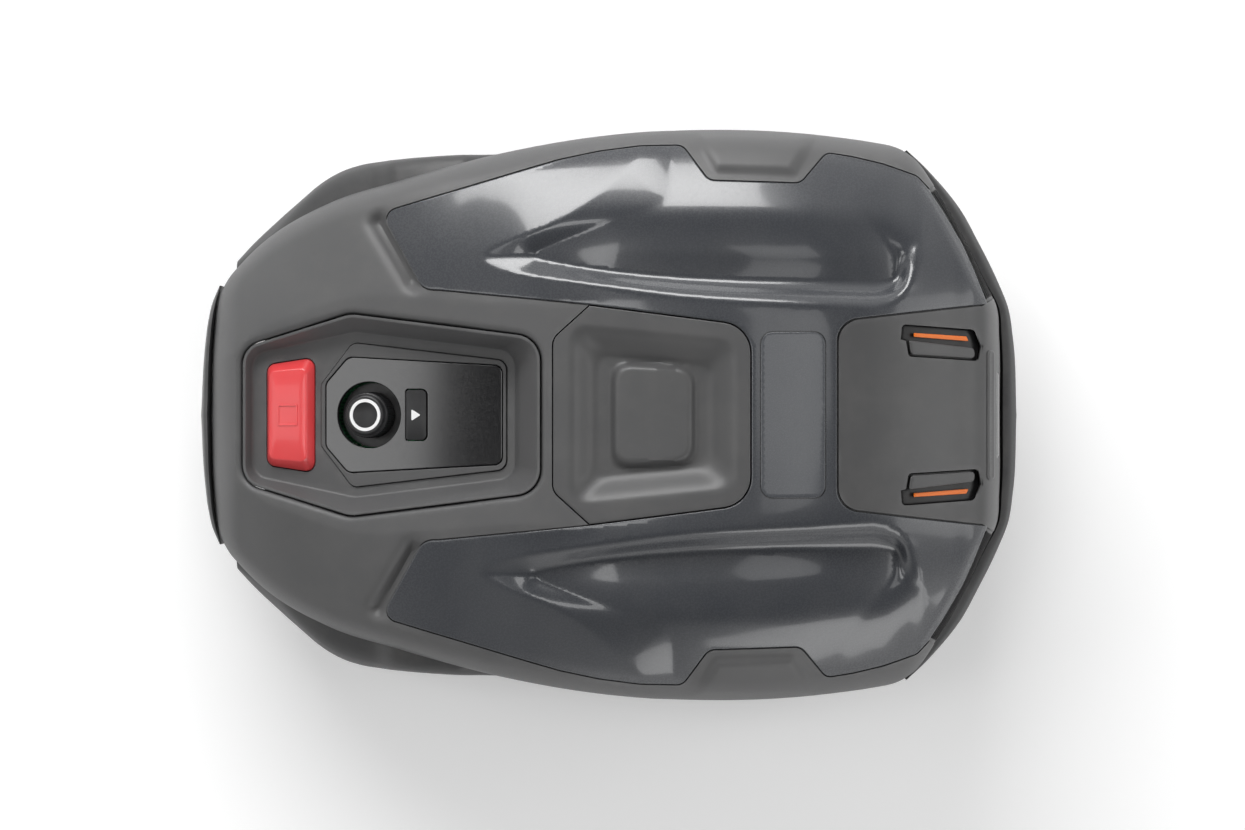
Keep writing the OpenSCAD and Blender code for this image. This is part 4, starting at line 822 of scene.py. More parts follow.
def weld(name, mesh, thinnest, fill=False):
    """Joins corners that lie together, drops slivers and turns every face outwards."""
    shape = bmesh.new()
    shape.from_mesh(mesh)
    bmesh.ops.remove_doubles(shape, verts=shape.verts, dist=WELD)
    bmesh.ops.dissolve_degenerate(shape, edges=shape.edges, dist=thinnest)
    rims = [e for e in shape.edges if fill and len(e.link_faces) == 1]
    if rims:
        bmesh.ops.holes_fill(shape, edges=rims, sides=4)
    bmesh.ops.recalc_face_normals(shape, faces=shape.faces)
    open_edges = sum(1 for e in shape.edges if len(e.link_faces) != 2)
    shape.to_mesh(mesh)
    shape.free()
    print(name, len(mesh.polygons), "faces, open edges", open_edges)


def mesh_of(name, parts):
    """One mesh from several lists of corners and faces, in millimetres, welded where they meet."""
    corners, faces = [], []
    for some_corners, some_faces in parts:
        start = len(corners)
        corners += some_corners
        faces += [[start + i for i in face] for face in some_faces]
    mesh = bpy.data.meshes.new(name)
    mesh.from_pydata([tuple(c * MM for c in p) for p in corners], [], faces)
    piece = bpy.data.objects.new(name, mesh)
    bpy.context.scene.collection.objects.link(piece)
    weld(name, mesh, 0.0001 * MM, fill=True)
    return piece


def select_only(piece):
    if bpy.context.mode != "OBJECT":
        bpy.ops.object.mode_set(mode="OBJECT")
    bpy.ops.object.select_all(action="DESELECT")
    piece.select_set(True)
    bpy.context.view_layer.objects.active = piece


def finish_piece(piece, body, slot, stands_for=(), angle=32):
    """Smooth shading, finish, the body that carries it and the CAD nodes it stands for."""
    select_only(piece)
    bpy.ops.object.shade_smooth_by_angle(angle=math.radians(angle))
    dress(piece, slot)
    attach(piece, body)
    if stands_for:
        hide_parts(*stands_for)
    return piece


def make(name, parts, body, slot, stands_for=(), angle=32, moved_by=None):
    piece = mesh_of(name, parts)
    if moved_by:
        piece.data.transform(moved_by)
    return finish_piece(piece, body, slot, stands_for, angle)


# %% [markdown]
# ## The main shell
# The shell carries everything else. Its top shows between the panels, with pockets a panel deep
# under the cover and the nose, a bay under the hatch, the control well, and a skirt that runs
# round the mower and opens in an arch over each rear wheel. The whole hood is laid out as one
# plan, so every pocket's wall meets the skin along one shared line.

# %% The shell's plan
roll_steps = (0, 0.03, 0.12, 0.5, 1.1, 2.0, 3.2, 4.8, 6.8, 9.2, 12)
INNER_STEP, VENT_STEP = 3.2, 4.8
hood_rows = {step: grown(hood, -step) for step in roll_steps}
NOSE_HALF, VENT_HALF = 86.1, 181
nose_side = int(np.argmin(np.abs(hood_rows[roll_steps[-1]][:FRONT_POINTS, 1] - NOSE_HALF)))
vent_end = int(np.argmin(np.abs(hood[:FRONT_POINTS, 1] - VENT_HALF)))


def edge_run(index, steps):
    """The hood's rows at one place of the edge, from the outside in."""
    return [tuple(hood_rows[step][index]) for step in steps]


def nose_loop():
    rear = corner_arc((295, 85.5), (175.5, 71.5), (175.5, -71.5), 18)
    half = [tuple(p) for p in hood[:nose_side]] + edge_run(nose_side, roll_steps)
    half += [(290, 85.2)] + [tuple(p) for p in rear]
    points = half + [(x, -y) for x, y in reversed(half)][:-1]
    keep = []
    for a, b in zip(points, points[1:] + points[:1]):
        gap = math.dist(a, b)
        parts = max(1, round(gap / 3)) if gap > 4 else 1
        keep += [(a[0] + (b[0] - a[0]) * k / parts, a[1] + (b[1] - a[1]) * k / parts) for k in range(parts)]
    return np.array(keep)


vent_edge = [(295, 88), (284, 113.5), (276, 132), (261, 158.5), (250.5, 176)]


def vent_loop():
    outer = [tuple(p) for p in hood[nose_side:vent_end]]
    closing = edge_run(vent_end, [step for step in roll_steps if step <= VENT_STEP])
    inner = divided([closing[-1]] + [np.array(p) for p in reversed(vent_edge)], 3.0, closed=False)[1:]
    start = edge_run(nose_side, roll_steps[1:])[::-1]
    return np.array(outer + closing + [tuple(p) for p in inner[:-1]] + start)


nose_outline = nose_loop()
vent_outline = vent_loop()
print("nose", len(nose_outline), "vent", len(vent_outline), "points")

# %% The shell's levels
BAY_FLOOR, BAY_WALL = 231, 3
LAMP_DEPTH = 16
RIM_ROUND = 5
GRIP_RISE = 4.4
DENT_START, DENT_RUN, DENT_DEPTH, DENT_REACH = (-178, 150), (28, -46), 8, 7


def grip_rise(x, a):
    """The pads that a hand holds: raised a little, with a slanted edge towards the cover."""
    rise = GRIP_RISE * ramp(from_line(x, a, grip_outline) / 8, 0.2)
    return np.where(held_in(x, a, grip_outline), rise, 0) * ramp((228 - a) / 16, 0.3)


def finger_dent(x, a):
    """A hollow for the fingertips along the slanted rear edge of the cover."""
    (x0, a0), (dx, da) = DENT_START, DENT_RUN
    t = np.clip(((x - x0) * dx + (a - a0) * da) / (dx * dx + da * da), 0, 1)
    away = np.hypot(x - x0 - dx * t, a - a0 - da * t)
    return DENT_DEPTH * np.exp(-(away / DENT_REACH) ** 2)


def shell_skin(x, y):
    a = np.abs(y)
    return skin_height(x, y) + grip_rise(x, a) - finger_dent(x, a)


def below(depth):
    return lambda x, y: skin_height(x, y) - depth


def level_at(height):
    return lambda x, y: np.full(len(x), float(height))


def both(outline):
    return [outline, flipped(outline)]


# %% Build the shell
hood_lines = list(hood_rows.values())
bay_outline = grown(hatch_outline, SEAM)
bay_wall = grown(hatch_outline, 3.8)
rim_edge = grown(rim_outline, SEAM + RIM_ROUND)
light_pockets, light_boxes = both(grown(light_outline, SEAM)), both(grown(light_outline, 2.6))
vents = both(vent_outline)
pockets = [grown(cover_outline, SEAM), nose_outline, *vents]


def shell_hood():
    outlines = [*hood_lines, *pockets, bay_outline, bay_wall, rim_edge, *light_pockets, *light_boxes]
    points, triangles, middles = triangulate(outlines)
    heights = [shell_skin, below(PANEL + SEAM), level_at(BAY_FLOOR), below(LAMP_DEPTH), inner_height,
               level_at(BAY_FLOOR - BAY_WALL), below(LAMP_DEPTH + BAY_WALL)]
    upper = np.zeros(len(triangles), int)
    lower = np.full(len(triangles), 4)
    for level, lines in ((1, pockets), (2, [bay_outline]), (3, light_pockets)):
        upper[in_any(middles, lines)] = level
    for level, lines in ((5, [bay_wall]), (6, light_boxes)):
        lower[in_any(middles, lines)] = level
    lower[~inside(middles, hood_rows[INNER_STEP])] = -1
    gone = inside(middles, rim_edge) | ~inside(middles, hood)
    upper[gone] = lower[gone] = -1
    return layered(points, triangles, upper, lower, heights)


def pocket_edge(outline):
    """The height of the shell's top along the hood's edge, lower where a pocket reaches it."""
    deep = in_any(grown(outline, -0.5), [nose_outline, *vents])
    return shell_skin(*outline.T) - np.where(deep, PANEL + SEAM, 0)


def arch_height(x, y):
    """The lower edge of the skirt: level, but over the wheels it follows the arch."""
    across = np.abs(x - AXLE_X) / ARCH_HALF
    open_side = AXLE_Z + ARCH_RISE * np.sqrt(np.clip(1 - across ** 2, 0, 1))
    well = AXLE_Z + ARCH_HALF * np.sqrt(np.clip(1 - across ** 2, 0, 1))
    share = smooth(193, 203, np.abs(y))
    height = well * (1 - share) + open_side * share
    return np.where(across < 1, np.maximum(SKIRT_LOW, height), SKIRT_LOW)


def drawn_in(outline, z, top):
    """The skirt leans in a little towards its foot."""
    k = TUCK / 200 * np.clip((top - z) / (top - SKIRT_LOW), 0, 1)
    return np.column_stack([outline * np.column_stack([1 - 0.66 * k, 1 - k]), z])


def skirt():
    top = pocket_edge(hood)
    low = np.minimum(arch_height(*hood.T), top - 8)
    rows = [np.column_stack([hood, top])]
    for share in (0.08, 0.2, 0.4, 0.6, 0.77):
        rows.append(drawn_in(hood, top + (low - top) * share, top))
    for inset, rise in ((0, 1.6), (0.5, 0.5), (1.6, 0), (2.4, 0), (3.5, 0.5), (SKIRT_WALL, 1.6)):
        rows.append(drawn_in(grown(hood, -inset), low + rise, top))
    under = inner_height(*hood_rows[INNER_STEP].T)
    ceiling = np.minimum(under, top - 6)
    for share in (0.5, 0.9):
        rows.append(drawn_in(grown(hood, -SKIRT_WALL), low + (ceiling - low) * share, top))
    rows.append(np.column_stack([hood_rows[INNER_STEP], under]))
    return band(rows)


def rim_wall():
    rows = []
    for inset, drop in rounding(6):
        outline = grown(rim_outline, SEAM + RIM_ROUND * inset)
        z = skin_height(*rim_edge.T) * inset + skin_height(*outline.T) * (1 - inset)
        rows.append(np.column_stack([outline, z - RIM_ROUND * drop]))
    for outline in (grown(rim_outline, SEAM), rim_edge):
        rows.append(np.column_stack([outline, inner_height(*rim_edge.T)]))
    return band(rows)


shell = make("shell_hood", [shell_hood(), skirt(), rim_wall()], "shell", "shell_plastic",
             ("main_shell", "bay_tray"), angle=38)

# %% [markdown]
# ## The loose panels
# The gloss cover, the nose, the hatch and the small label plate are thin sheets of the same skin.
# Their edges are rounded over by a little under a millimetre, because that thin bright line
# along a panel gap is what tells the eye that two parts meet. The rows of the rounding are
# smaller and smaller copies of the outline, and the sheet inside them is cut as before.

# %% A panel with a rounded edge
RECESS_DEPTH = 2.0


def panel_parts(outline, thickness, top=0.0, lip=0.9, recesses=(), **cut):
    """A panel whose face lies `top` above the skin; its edge is rounded over by `lip`."""
    inner = grown(outline, -lip)
    heights = [below(-top), below(RECESS_DEPTH - top), below(thickness - top)]
    flat = sheet([inner, *recesses], [inner], heights, recesses=recesses, **cut)
    rows = []
    for inset, drop in rounding(5):
        ring = grown(outline, -lip * inset)
        z = skin_height(*inner.T) * inset + skin_height(*ring.T) * (1 - inset)
        rows.append(np.column_stack([ring, z + top - lip * drop]))
    for ring in (outline, inner):
        rows.append(np.column_stack([ring, skin_height(*ring.T) + top - thickness]))
    return [flat, band(rows)]


# %% Cover, label plate and hatch
def creases_in(lines, outline, margin=2.5):
    """The stretches of some lines that lie well inside an outline."""
    runs = []
    for line in lines:
        keep = inside(line, outline) & (from_line(*line.T, outline) > margin)
        run = []
        for point, kept in [*zip(line, keep), (line[0], keep[0]), (None, False)]:
            if kept:
                run.append(point)
                continue
            if len(run) > 2:
                runs.append(np.array(run))
            run = []
    return runs


scoop_lines = [scoop_outer, scoop_inner, flipped(scoop_outer), flipped(scoop_inner)]
cover_parts = panel_parts(cover_outline, PANEL, recesses=[grown(label_outline, 0.8)], spacing=2.4,
                          creases=creases_in(scoop_lines, cover_outline))
cover = make("gloss_cover", cover_parts, "top_cover", "cover_gloss", ("top_cover",), angle=38)
label = make("bare_label_plate", panel_parts(label_outline, 1.85, lip=0.7), "top_cover", "label_gloss",
             ("label_plate",))
hatch = make("bay_hatch", panel_parts(hatch_outline, PANEL, spacing=2.4), "antenna_hatch",
             "hatch_satin", ("antenna_hatch",), angle=38)

# %% [markdown]
# The nose cover reaches round the front of the hood and makes room for the two headlights, so
# its outline takes in the notch of each lamp.

# %% Nose cover
nose_edge = grown(nose_outline, -SEAM)
notches = both(grown(light_outline, 0.4))
nose_sheet = sheet([*hood_lines, nose_edge, *notches], [nose_edge, hood], [skin_height, below(PANEL)],
                   holes=notches, closed=True, spacing=2.6)
nose = make("nose_cover_skin", [nose_sheet], "shell", "nose_satin", ("nose_cover",), angle=38)

# %% [markdown]
# ## The control console
# The console lies in its own tilted frame, so its pieces are laid out flat there and turned into
# place at the end. Outlines that belong together get the same number of points, and a band of
# rows then runs from one to the next: down the wall of the well, or up the side of a button.

# %% The console's own frame
CONSOLE_X, CONSOLE_Z, CONSOLE_TILT = -170, 196, -14
CONSOLE = (Matrix.Translation((CONSOLE_X * MM, 0, CONSOLE_Z * MM))
           @ Matrix.Rotation(math.radians(CONSOLE_TILT), 4, "Y"))
KNOB_X = -16.5
MODULE_FOOT = -2.6


def to_console(row):
    """Corners in the mower's frame, seen from the console's frame, all in millimetres."""
    back = np.array(CONSOLE.inverted())
    return row @ back[:3, :3].T + back[:3, 3] / MM


def even_outline(corners, arc=8, side=12):
    """Corners with radii as an outline; the number of points depends on the counts alone."""
    count = len(corners)
    arcs = [corner_arc(corners[i - 1], corners[i], corners[(i + 1) % count], corners[i][2], arc)
            for i in range(count)]
    points = []
    for i in range(count):
        start, end = arcs[i][-1], arcs[(i + 1) % count][0]
        points += arcs[i] + [start + (end - start) * k / side for k in range(1, side)]
    return np.array(points)


def row_at(outline, height, inset=0.0):
    line = grown(outline, -inset) if inset else outline
    return np.column_stack([line, np.full(len(line), float(height))])


def stacked(rows):
    """A closed solid through rows of as many points, from the lower face to the upper."""
    corners, faces = band([[tuple(p) for p in row] for row in rows])
    count, last = len(rows[0]), len(corners) - len(rows[0])
    return corners, faces + [list(range(count))[::-1], list(range(last, last + count))]


def slab(outline, holes, high, lip):
    """A flat plate of the module with holes and rounded upper edges."""
    edges = [(outline, -1)] + [(hole, 1) for hole in holes]
    rims = [grown(edge, side * lip) for edge, side in edges]
    beside = [grown(edge, side * (lip + 0.25)) for edge, side in edges]
    parts = [sheet(rims + beside, rims[:1], [level_at(high), level_at(MODULE_FOOT)], holes=rims[1:],
                   spacing=6, clear=2)]
    for edge, side in edges:
        rows = [row_at(grown(edge, side * lip * inset), high - lip * drop) for inset, drop in rounding(4)]
        rows += [row_at(edge, MODULE_FOOT), row_at(grown(edge, side * lip), MODULE_FOOT)]
        parts.append(band(rows))
    return parts


def circle(x, y, radius, count=96):
    """A circle as an outline; the radius may differ from point to point."""
    turns = np.linspace(0, 2 * math.pi, count, endpoint=False)
    return np.column_stack([x + radius * np.cos(turns), y + radius * np.sin(turns)])


def make_in_console(*given, **named):
    return make(*given, moved_by=CONSOLE, **named)


floor_line = even_outline(mirrored([(103, 50, 15), (-28, 66, 24), (-114, 49, 15)]))
frame_outline = even_outline(mirrored([(95, 42, 8), (-30, 56.5, 8), (-56, 24, 6)]))
glass_outline = even_outline(mirrored([(91.5, 38, 6), (-33.5, 45, 8), (-51.8, 24.6, 8)]))
stop_outline = even_outline(mirrored([(-62, 45, 7), (-101, 39.5, 7)]))
stop_top = even_outline(mirrored([(-66, 37, 5), (-97, 34.5, 5)]))
start_outline = even_outline(mirrored([(30.5, 19.5, 4), (14, 19.5, 2)]), side=8)
print("console outlines", len(frame_outline), len(stop_outline), len(start_outline), "points")


# %% The well, the module's frame and the glass
WELL_FOOT = -3
FOOT_ROUND = ((0, 2.8), (0.2, 1.9), (0.7, 1.0), (1.6, 0.3))
RIM_LIP = ((2.2, 0.9), (1.3, 0.62), (0.5, 0.7), (0, 1.3))


def well():
    """The console's well: a floor with two openings, and a wall up to the rim of the shell."""
    rim_line = even_outline(rim_corners)
    holes = [grown(stop_outline, 0.9), grown(frame_outline, 0.7)]
    inner = grown(floor_line, -2.8)
    parts = [sheet([inner, *holes], [inner], [level_at(0), level_at(WELL_FOOT)], holes=holes,
                   spacing=6, clear=2)]
    parts += [band([row_at(hole, 0), row_at(hole, WELL_FOOT)]) for hole in holes]

    def rim_row(inset, drop):
        line = grown(rim_line, -inset)
        return to_console(np.column_stack([line, rim_height(line[:, 0]) - drop]))

    rows = [row_at(floor_line, rise, inset) for rise, inset in FOOT_ROUND]
    foot, top = row_at(floor_line, 2.8, -0.2), rim_row(2.7, 1.7)
    rows += [foot + (top - foot) * share for share in (0, 0.25, 0.5, 0.75, 1)]
    rows += [rim_row(inset, drop) for inset, drop in RIM_LIP]
    head, low = rows[-1], row_at(floor_line, WELL_FOOT, -2.4)
    rows += [head + (low - head) * share for share in (0.3, 0.65, 1)] + [row_at(floor_line, WELL_FOOT, 2.8)]
    return parts + [band(rows)]


bowl = make_in_console("console_well", well(), "shell", "shell_plastic", ("control_console",))
bezel_parts = slab(frame_outline, [grown(glass_outline, 0.9)], 1.5, 0.4)
bezel = make_in_console("module_bezel", bezel_parts, "shell", "shell_plastic", ("module_frame",))
glass_parts = slab(glass_outline, [grown(start_outline, 0.8), circle(KNOB_X, 0, 26)], 1.3, 0.35)
glass = make_in_console("display_face", glass_parts, "shell", "display_gloss", ("display_glass",))

# %% [markdown]
# ## Buttons
# Each button rises in rows, each with its height and its inset. The signs are shapes that
# everybody reads: a square and a triangle.

# %% The two buttons
def button(*stages):
    """A solid through rows; a stage is an outline and the heights and insets of its rows."""
    return stacked([row_at(line, *row) for line, rows in stages for row in rows])


def arrow_at(x, y):
    return even_outline([(x + 3.8, y, 0.6), (x - 3.8, y + 4.6, 0.6), (x - 3.8, y - 4.6, 0.6)],
                        arc=4, side=4)


square = even_outline([(-73, 8.5, 1.6), (-90, 8.5, 1.6), (-90, -8.5, 1.6), (-73, -8.5, 1.6)])
stop_solid = button((stop_outline, [(-6,), (0.6,), (1.6, 0.4)]),
                    (stop_top, [(6.9, -0.5), (7.6, 0.1), (8.0, 1.1)]),
                    (square, [(8.0,), (8.7, 0.25), (8.7, 1.35), (8.0, 1.6)]))
stop_piece = make_in_console("stop_key", [stop_solid], "stop_button", "stop_red", ("stop_button",), 28)
start_solid = button((start_outline, [(-6,), (1.9,), (2.2, 0.15), (2.3, 0.5)]))
start_piece = make_in_console("start_key", [start_solid], "start_button", "black_trim", ("start_button",))
sign_x, sign_y, sign_z = CONSOLE.inverted() @ place_on(tree_of(start_piece), "start_sign")[0] / MM
sign_solid = button((arrow_at(sign_x, sign_y), [(sign_z - 0.05,), (sign_z + 0.1, 0.05)]))
sign = make_in_console("start_sign", [sign_solid], "start_button", "ring_white")


# %% The jog knob
def turned(rows, count=180, teeth=60):
    """A closed body of rings [radius, height, depth of the grip's teeth], from one pole to the other."""
    grip = 0.5 - 0.5 * np.cos(np.linspace(0, 2 * math.pi, count, endpoint=False) * teeth)
    corners, faces, rings = [], [], []
    for radius, height, tooth in rows:
        start = len(corners)
        if radius == 0:
            corners.append((KNOB_X, 0, height))
            rings.append([start] * count)
        else:
            corners += [tuple(p) for p in row_at(circle(KNOB_X, 0, radius - tooth * grip, count), height)]
            rings.append(list(range(start, start + count)))
    for low, high in zip(rings, rings[1:]):
        for i in range(count):
            j = (i + 1) % count
            face = [low[i], low[j], high[j], high[i]]
            faces.append([v for k, v in enumerate(face) if v not in face[:k]])
    return corners, faces


knob_rows = [
    (0, 8.5, 0), (4.1, 8.5, 0), (4.1, -9.8, 0), (17.4, -9.8, 0), (18, -9.2, 0.5), (18, 3.5, 0.5),
    (18, 6.6, 0.5), (17.6, 7.6, 0.3), (17, 8.2, 0), (16.2, 8.5, 0), (15.6, 9.2, 0), (15.2, 10.4, 0),
    (14.8, 11, 0), (14.2, 11.3, 0), (12.7, 11.3, 0), (12.55, 10.8, 0), (10.05, 10.8, 0), (9.9, 11.3, 0),
    (9.2, 11.2, 0), (7, 10.6, 0), (4, 10.25, 0), (0, 10.1, 0)]
knob = make_in_console("jog_wheel", [turned(knob_rows)], "jog_knob", "black_trim", ("jog_knob",), 26)

# %% [markdown]
# ## Headlights, vents and the nose's details
# Small parts are cut from the same skin as the panels, each with its own height over or under it.
# A headlight is a dark bed in its pocket, an orange strip and a hood that rises above the nose.

# %% Headlights and their orange strips
hood_line = rounded([(231, 57, 1), (283, 51.5, 3), (284.3, 43.6, 3), (232.5, 46.4, 3)], 1.5)
strip_line = rounded([(235, 62.8, 0.5), (277, 60.6, 0.5), (279, 57, 0.5), (235, 59.8, 0.5)], 1.5)


def both_sides(outline, thickness, top, lip, spacing=1.8):
    return [part for line in both(outline)
            for part in panel_parts(line, thickness, top, lip, spacing=spacing)]


lamps = make("headlight_beds", both_sides(light_outline, 3, -6, 0.6), "shell", "black_trim", ("headlights",))
lamp_hoods = make("headlight_hoods", both_sides(hood_line, 7.3, 0.8, 0.9), "shell", "nose_satin")
strips = make("orange_strips", both_sides(strip_line, 3.9, -2, 0.3), "shell", "orange_trim",
              ("light_strips",))


# %% Vents with their fins, on a black liner that paints the slot's shade
def along(points, share_list):
    """Places at shares of a polyline's length."""
    points = np.array(points, float)
    run = np.concatenate([[0], np.cumsum(np.linalg.norm(np.diff(points, axis=0), axis=1))])
    wanted = np.array(share_list) * run[-1]
    return np.column_stack([np.interp(wanted, run, points[:, axis]) for axis in (0, 1)])


def vent_strip(low, high, start=0.02, end=0.97, steps=44):
    shares = np.linspace(start, end, steps)
    outer, inner = along(hood[nose_side:vent_end + 1], shares), along(vent_edge, shares)
    return np.vstack([outer * high + inner * (1 - high), (outer * low + inner * (1 - low))[::-1]])


# The first strip is a black liner over each vent pocket's floor. It is painted shade that makes the whole
# slot show dark, and the fins stand on it.
vent_parts = both_sides(vent_strip(0.03, 0.93), 0.9, -2.6, 0.2, 2.2)
for middle in (0.12, 0.36, 0.6, 0.84):
    vent_parts += both_sides(vent_strip(middle - 0.035, middle + 0.035), 2.2, -0.5, 0.15, 2.2)
vent_piece = make("vent_fins_and_shade_liner", vent_parts, "shell", "black_trim", ("vent_trims",))

# %% The nose's brow and window
nose_tree = tree_of(nose)
WINDOW_LIMIT = 305.3


def cross_bar(x, half, front, rear, *radius):
    """A bar across the nose: half its depth, and its half widths at the front and the rear."""
    return rounded([(x + half, front, *radius), (x - half, rear, *radius),
                    (x - half, -rear, *radius), (x + half, -front, *radius)], 1.5)


brow_x = place_on(nose_tree, "nose_brow")[0].x / MM
window_x = min(WINDOW_LIMIT, place_on(nose_tree, "nose_window")[0].x / MM)
print("brow at", round(brow_x, 1), "window at", round(window_x, 1))
brow_parts = panel_parts(cross_bar(brow_x, 3.7, 50, 50.5, 3), 4, 2.4, 2.2, spacing=1.8)
brow = make("nose_brow", brow_parts, "shell", "nose_satin")
window_parts = panel_parts(cross_bar(window_x, 1.5, 31, 34), 2, 0.4, 0.5, spacing=1.8)
window = make("nose_window", window_parts, "shell", "display_gloss")

# %% [markdown]
# ## Fenders, bumper and rear plate
# These long trims are lofts: at each station along the mower stands one closed profile, and the
# skin runs from profile to profile. The profiles' corners are cut to curves first.

# %% Lofts through profiles
def loft(stations, profile):
    return stacked([cut_corners(profile(float(station)), 2, 0.2) for station in stations])


def value_at(table, x):
    return float(curve(table, np.array([x]))[0])


fender_top = [(-300, 123), (-277, 139), (-245, 169.5), (-229, 181.5), (-213, 189), (-181, 197), (-149, 201.5),
              (-110, 204.5), (-70, 206)]
fender_out = [(-300, 126), (-291, 136), (-263, 161.5), (-247, 174.5), (-231, 187), (-215, 196),
              (-199, 201), (-166, 204), (-118, 206.3), (-70, 207)]
TRIM_LOW = 79
OPEN_HALF, TYRE_ROOM = 103, 97.5


def fender_profile(x):
    raised = float(smooth(-186, -168, x) * (1 - smooth(-118, -96, x)))
    side, z = value_at(side_line, x) - 8, value_at(shoulder_line, x) - EDGE_DROP - 5 + 9 * raised
    top, out = value_at(fender_top, x), value_at(fender_out, x)
    brow = max(z - 22, z * 0.4 + TRIM_LOW * 0.6)
    return [(x, side, z), (x, top, z - 6), (x, out, brow), (x, out - 1, TRIM_LOW), (x, out - 4, TRIM_LOW),
            (x, out - 3, brow), (x, min(top, out - 3) - 1, z - 9), (x, side, z - 3)]


def wheel_cutters():
    """The arch that is open to the side, and the room of the tyre behind it."""
    turns = np.radians(np.arange(0, 181, 4))
    arch = [(AXLE_X + OPEN_HALF * math.cos(t), AXLE_Z + ARCH_RISE * math.sin(t)) for t in turns]
    arch += [(-199, -1), (19, -1)]
    room = circle(AXLE_X, AXLE_Z, TYRE_ROOM)
    for name, outline, near, far in (("arch", arch, 130, 260), ("wheel_room", room, 128, 188.2)):
        rows = [[(x, y, z) for x, z in outline] for y in (near, far)]
        yield mesh_of(name, [stacked(rows)])


def cut_away(piece, cutters):
    for cutter in cutters:
        select_only(piece)
        change = piece.modifiers.new("cut", "BOOLEAN")
        change.operation, change.solver, change.object = "DIFFERENCE", "EXACT", cutter
        bpy.ops.object.modifier_apply(modifier=change.name)
        bpy.data.objects.remove(cutter)
    weld(piece.name, piece.data, 0.001 * MM)


def mirror_copy(piece):
    """Adds the mirror image across the middle plane, as the mirror modifier does."""
    select_only(piece)
    change = piece.modifiers.new("mirror", "MIRROR")
    change.use_axis = (False, True, False)
    change.use_mirror_merge = False
    bpy.ops.object.modifier_apply(modifier=change.name)


fender = mesh_of("fender_pair", [loft(np.arange(-300, -69, 3.2), fender_profile)])
cut_away(fender, wheel_cutters())
mirror_copy(fender)
finish_piece(fender, "shell", "fender_plastic", ("fenders",), angle=34)

# %% Bumper and rear plate
bumper_out = [(0, 329), (60, 326), (88, 321), (104, 315), (138, 298.5), (167, 282.5), (187, 266),
              (203, 249), (210, 238.5)]
plate_out = [(0, -329), (52, -326), (76, -323), (92, -319.5), (104, -313.5)]


def bumper_profile(y):
    a = abs(y)
    near = value_at(front_line, a) + 0.3
    far = max(near + 1, value_at(bumper_out, a))
    d, z = far - near, 172 - 14 * float(smooth(120, 210, a))
    return [(near, y, z), (near + 0.45 * d, y, z - 2), (near + 0.8 * d, y, z - 20), (far, y, 118),
            (far - 0.2 * d, y, 84), (near + 0.2 * d, y, 67), (near, y, 67)]


def plate_profile(y):
    a = abs(y)
    near = value_at(rear_line, a) - 0.3
    far = min(near - 1, value_at(plate_out, a))
    z = 128 - 8 * float(smooth(70, 104, a))
    return [(near, y, z), (near, y, TRIM_LOW), (near * 0.3 + far * 0.7, y, TRIM_LOW), (far, y, 89),
            (far, y, z - 24), (near * 0.4 + far * 0.6, y, z - 2)]


BUMPER_HALF, PLATE_HALF = 210, 104
bumper = make("soft_bumper", [loft(np.linspace(-BUMPER_HALF, BUMPER_HALF, 141), bumper_profile)],
              "shell", "bumper_rubber", ("front_bumper",), angle=40)
tail = make("tail_plate", [loft(np.linspace(-PLATE_HALF, PLATE_HALF, 71), plate_profile)],
            "shell", "nose_satin", ("rear_plate",), angle=40)

# %% [markdown]
# ## Floor and light
# The photograph is a product picture: white all round, a large soft light from behind the
# mower's left side, and a soft shadow. Three large lamps stand round the mower. Three small ones
# hang above it, where the cover's slopes mirror them as pale streaks, and the sky is pale too.
# The floor glows a little for the camera alone, so that it shows white.

# %% Floor, lamps and sky
FLOOR_GLOW = 0.1


def make_floor():
    bpy.ops.mesh.primitive_plane_add(size=14, location=(0, 0, 0))
    floor = bpy.context.object
    floor.name = "floor"
    tree, shader = start_material("pale_floor")
    place = add_node(tree, "ShaderNodeTexCoord").outputs["Object"]
    tone = stretch(tree, noise(tree, place, 1.5, 3.0), 0.3, 0.7, 0.985, 1.0)
    feed(tree, shader["Base Color"], grey(tree, tone))
    shader["Roughness"].default_value = 0.7
    to_camera = add_node(tree, "ShaderNodeLightPath").outputs["Is Camera Ray"]
    shader["Emission Color"].default_value = (1, 1, 1, 1)
    feed(tree, shader["Emission Strength"], arithmetic(tree, "MULTIPLY", to_camera, FLOOR_GLOW))
    floor.data.materials.append(finishes["pale_floor"])


def make_lamp(name, place, aim, size, power):
    data = bpy.data.lights.new(name, "AREA")
    data.shape = "RECTANGLE"
    data.size, data.size_y = size
    data.energy = power
    lamp = bpy.data.objects.new(name, data)
    bpy.context.scene.collection.objects.link(lamp)
    lamp.location = place
    lamp.rotation_euler = (Vector(aim) - Vector(place)).to_track_quat("-Z", "Y").to_euler()


make_floor()
for row in (
        # name, place, what it is aimed at, width and height, power in watts
        ("key_light", (-0.6, 2.3, 1.75), (0.0, 0.0, 0.2), (2.4, 1.0), 78),
        ("front_light", (2.6, 0.0, 1.9), (0.1, 0.0, 0.15), (2.0, 1.2), 14),
        ("side_light", (1.3, -2.3, 1.5), (0.0, 0.0, 0.15), (2.4, 0.9), 20),
        ("facet_light", (-0.85, 0.1, 3.2), (-0.03, 0.1, 0.25), (0.6, 0.8), 6.5),
        ("rear_light", (-2.15, 0.1, 2.5), (-0.17, 0.0, 0.2), (1.2, 1.1), 9),
        ("top_light", (0.72, 0.2, 3.2), (0.14, 0.0, 0.27), (0.7, 0.9), 3.4)):
    make_lamp(*row)
world = bpy.data.worlds.new("studio_sky")
bpy.context.scene.world = world
world.use_nodes = True
sky = world.node_tree
up = add_node(sky, "ShaderNodeSeparateXYZ")
feed(sky, up.inputs["Vector"], add_node(sky, "ShaderNodeTexCoord").outputs["Generated"])
brightness = stretch(sky, up.outputs["Z"], 0.0, 0.8, 1.15, 0.1)
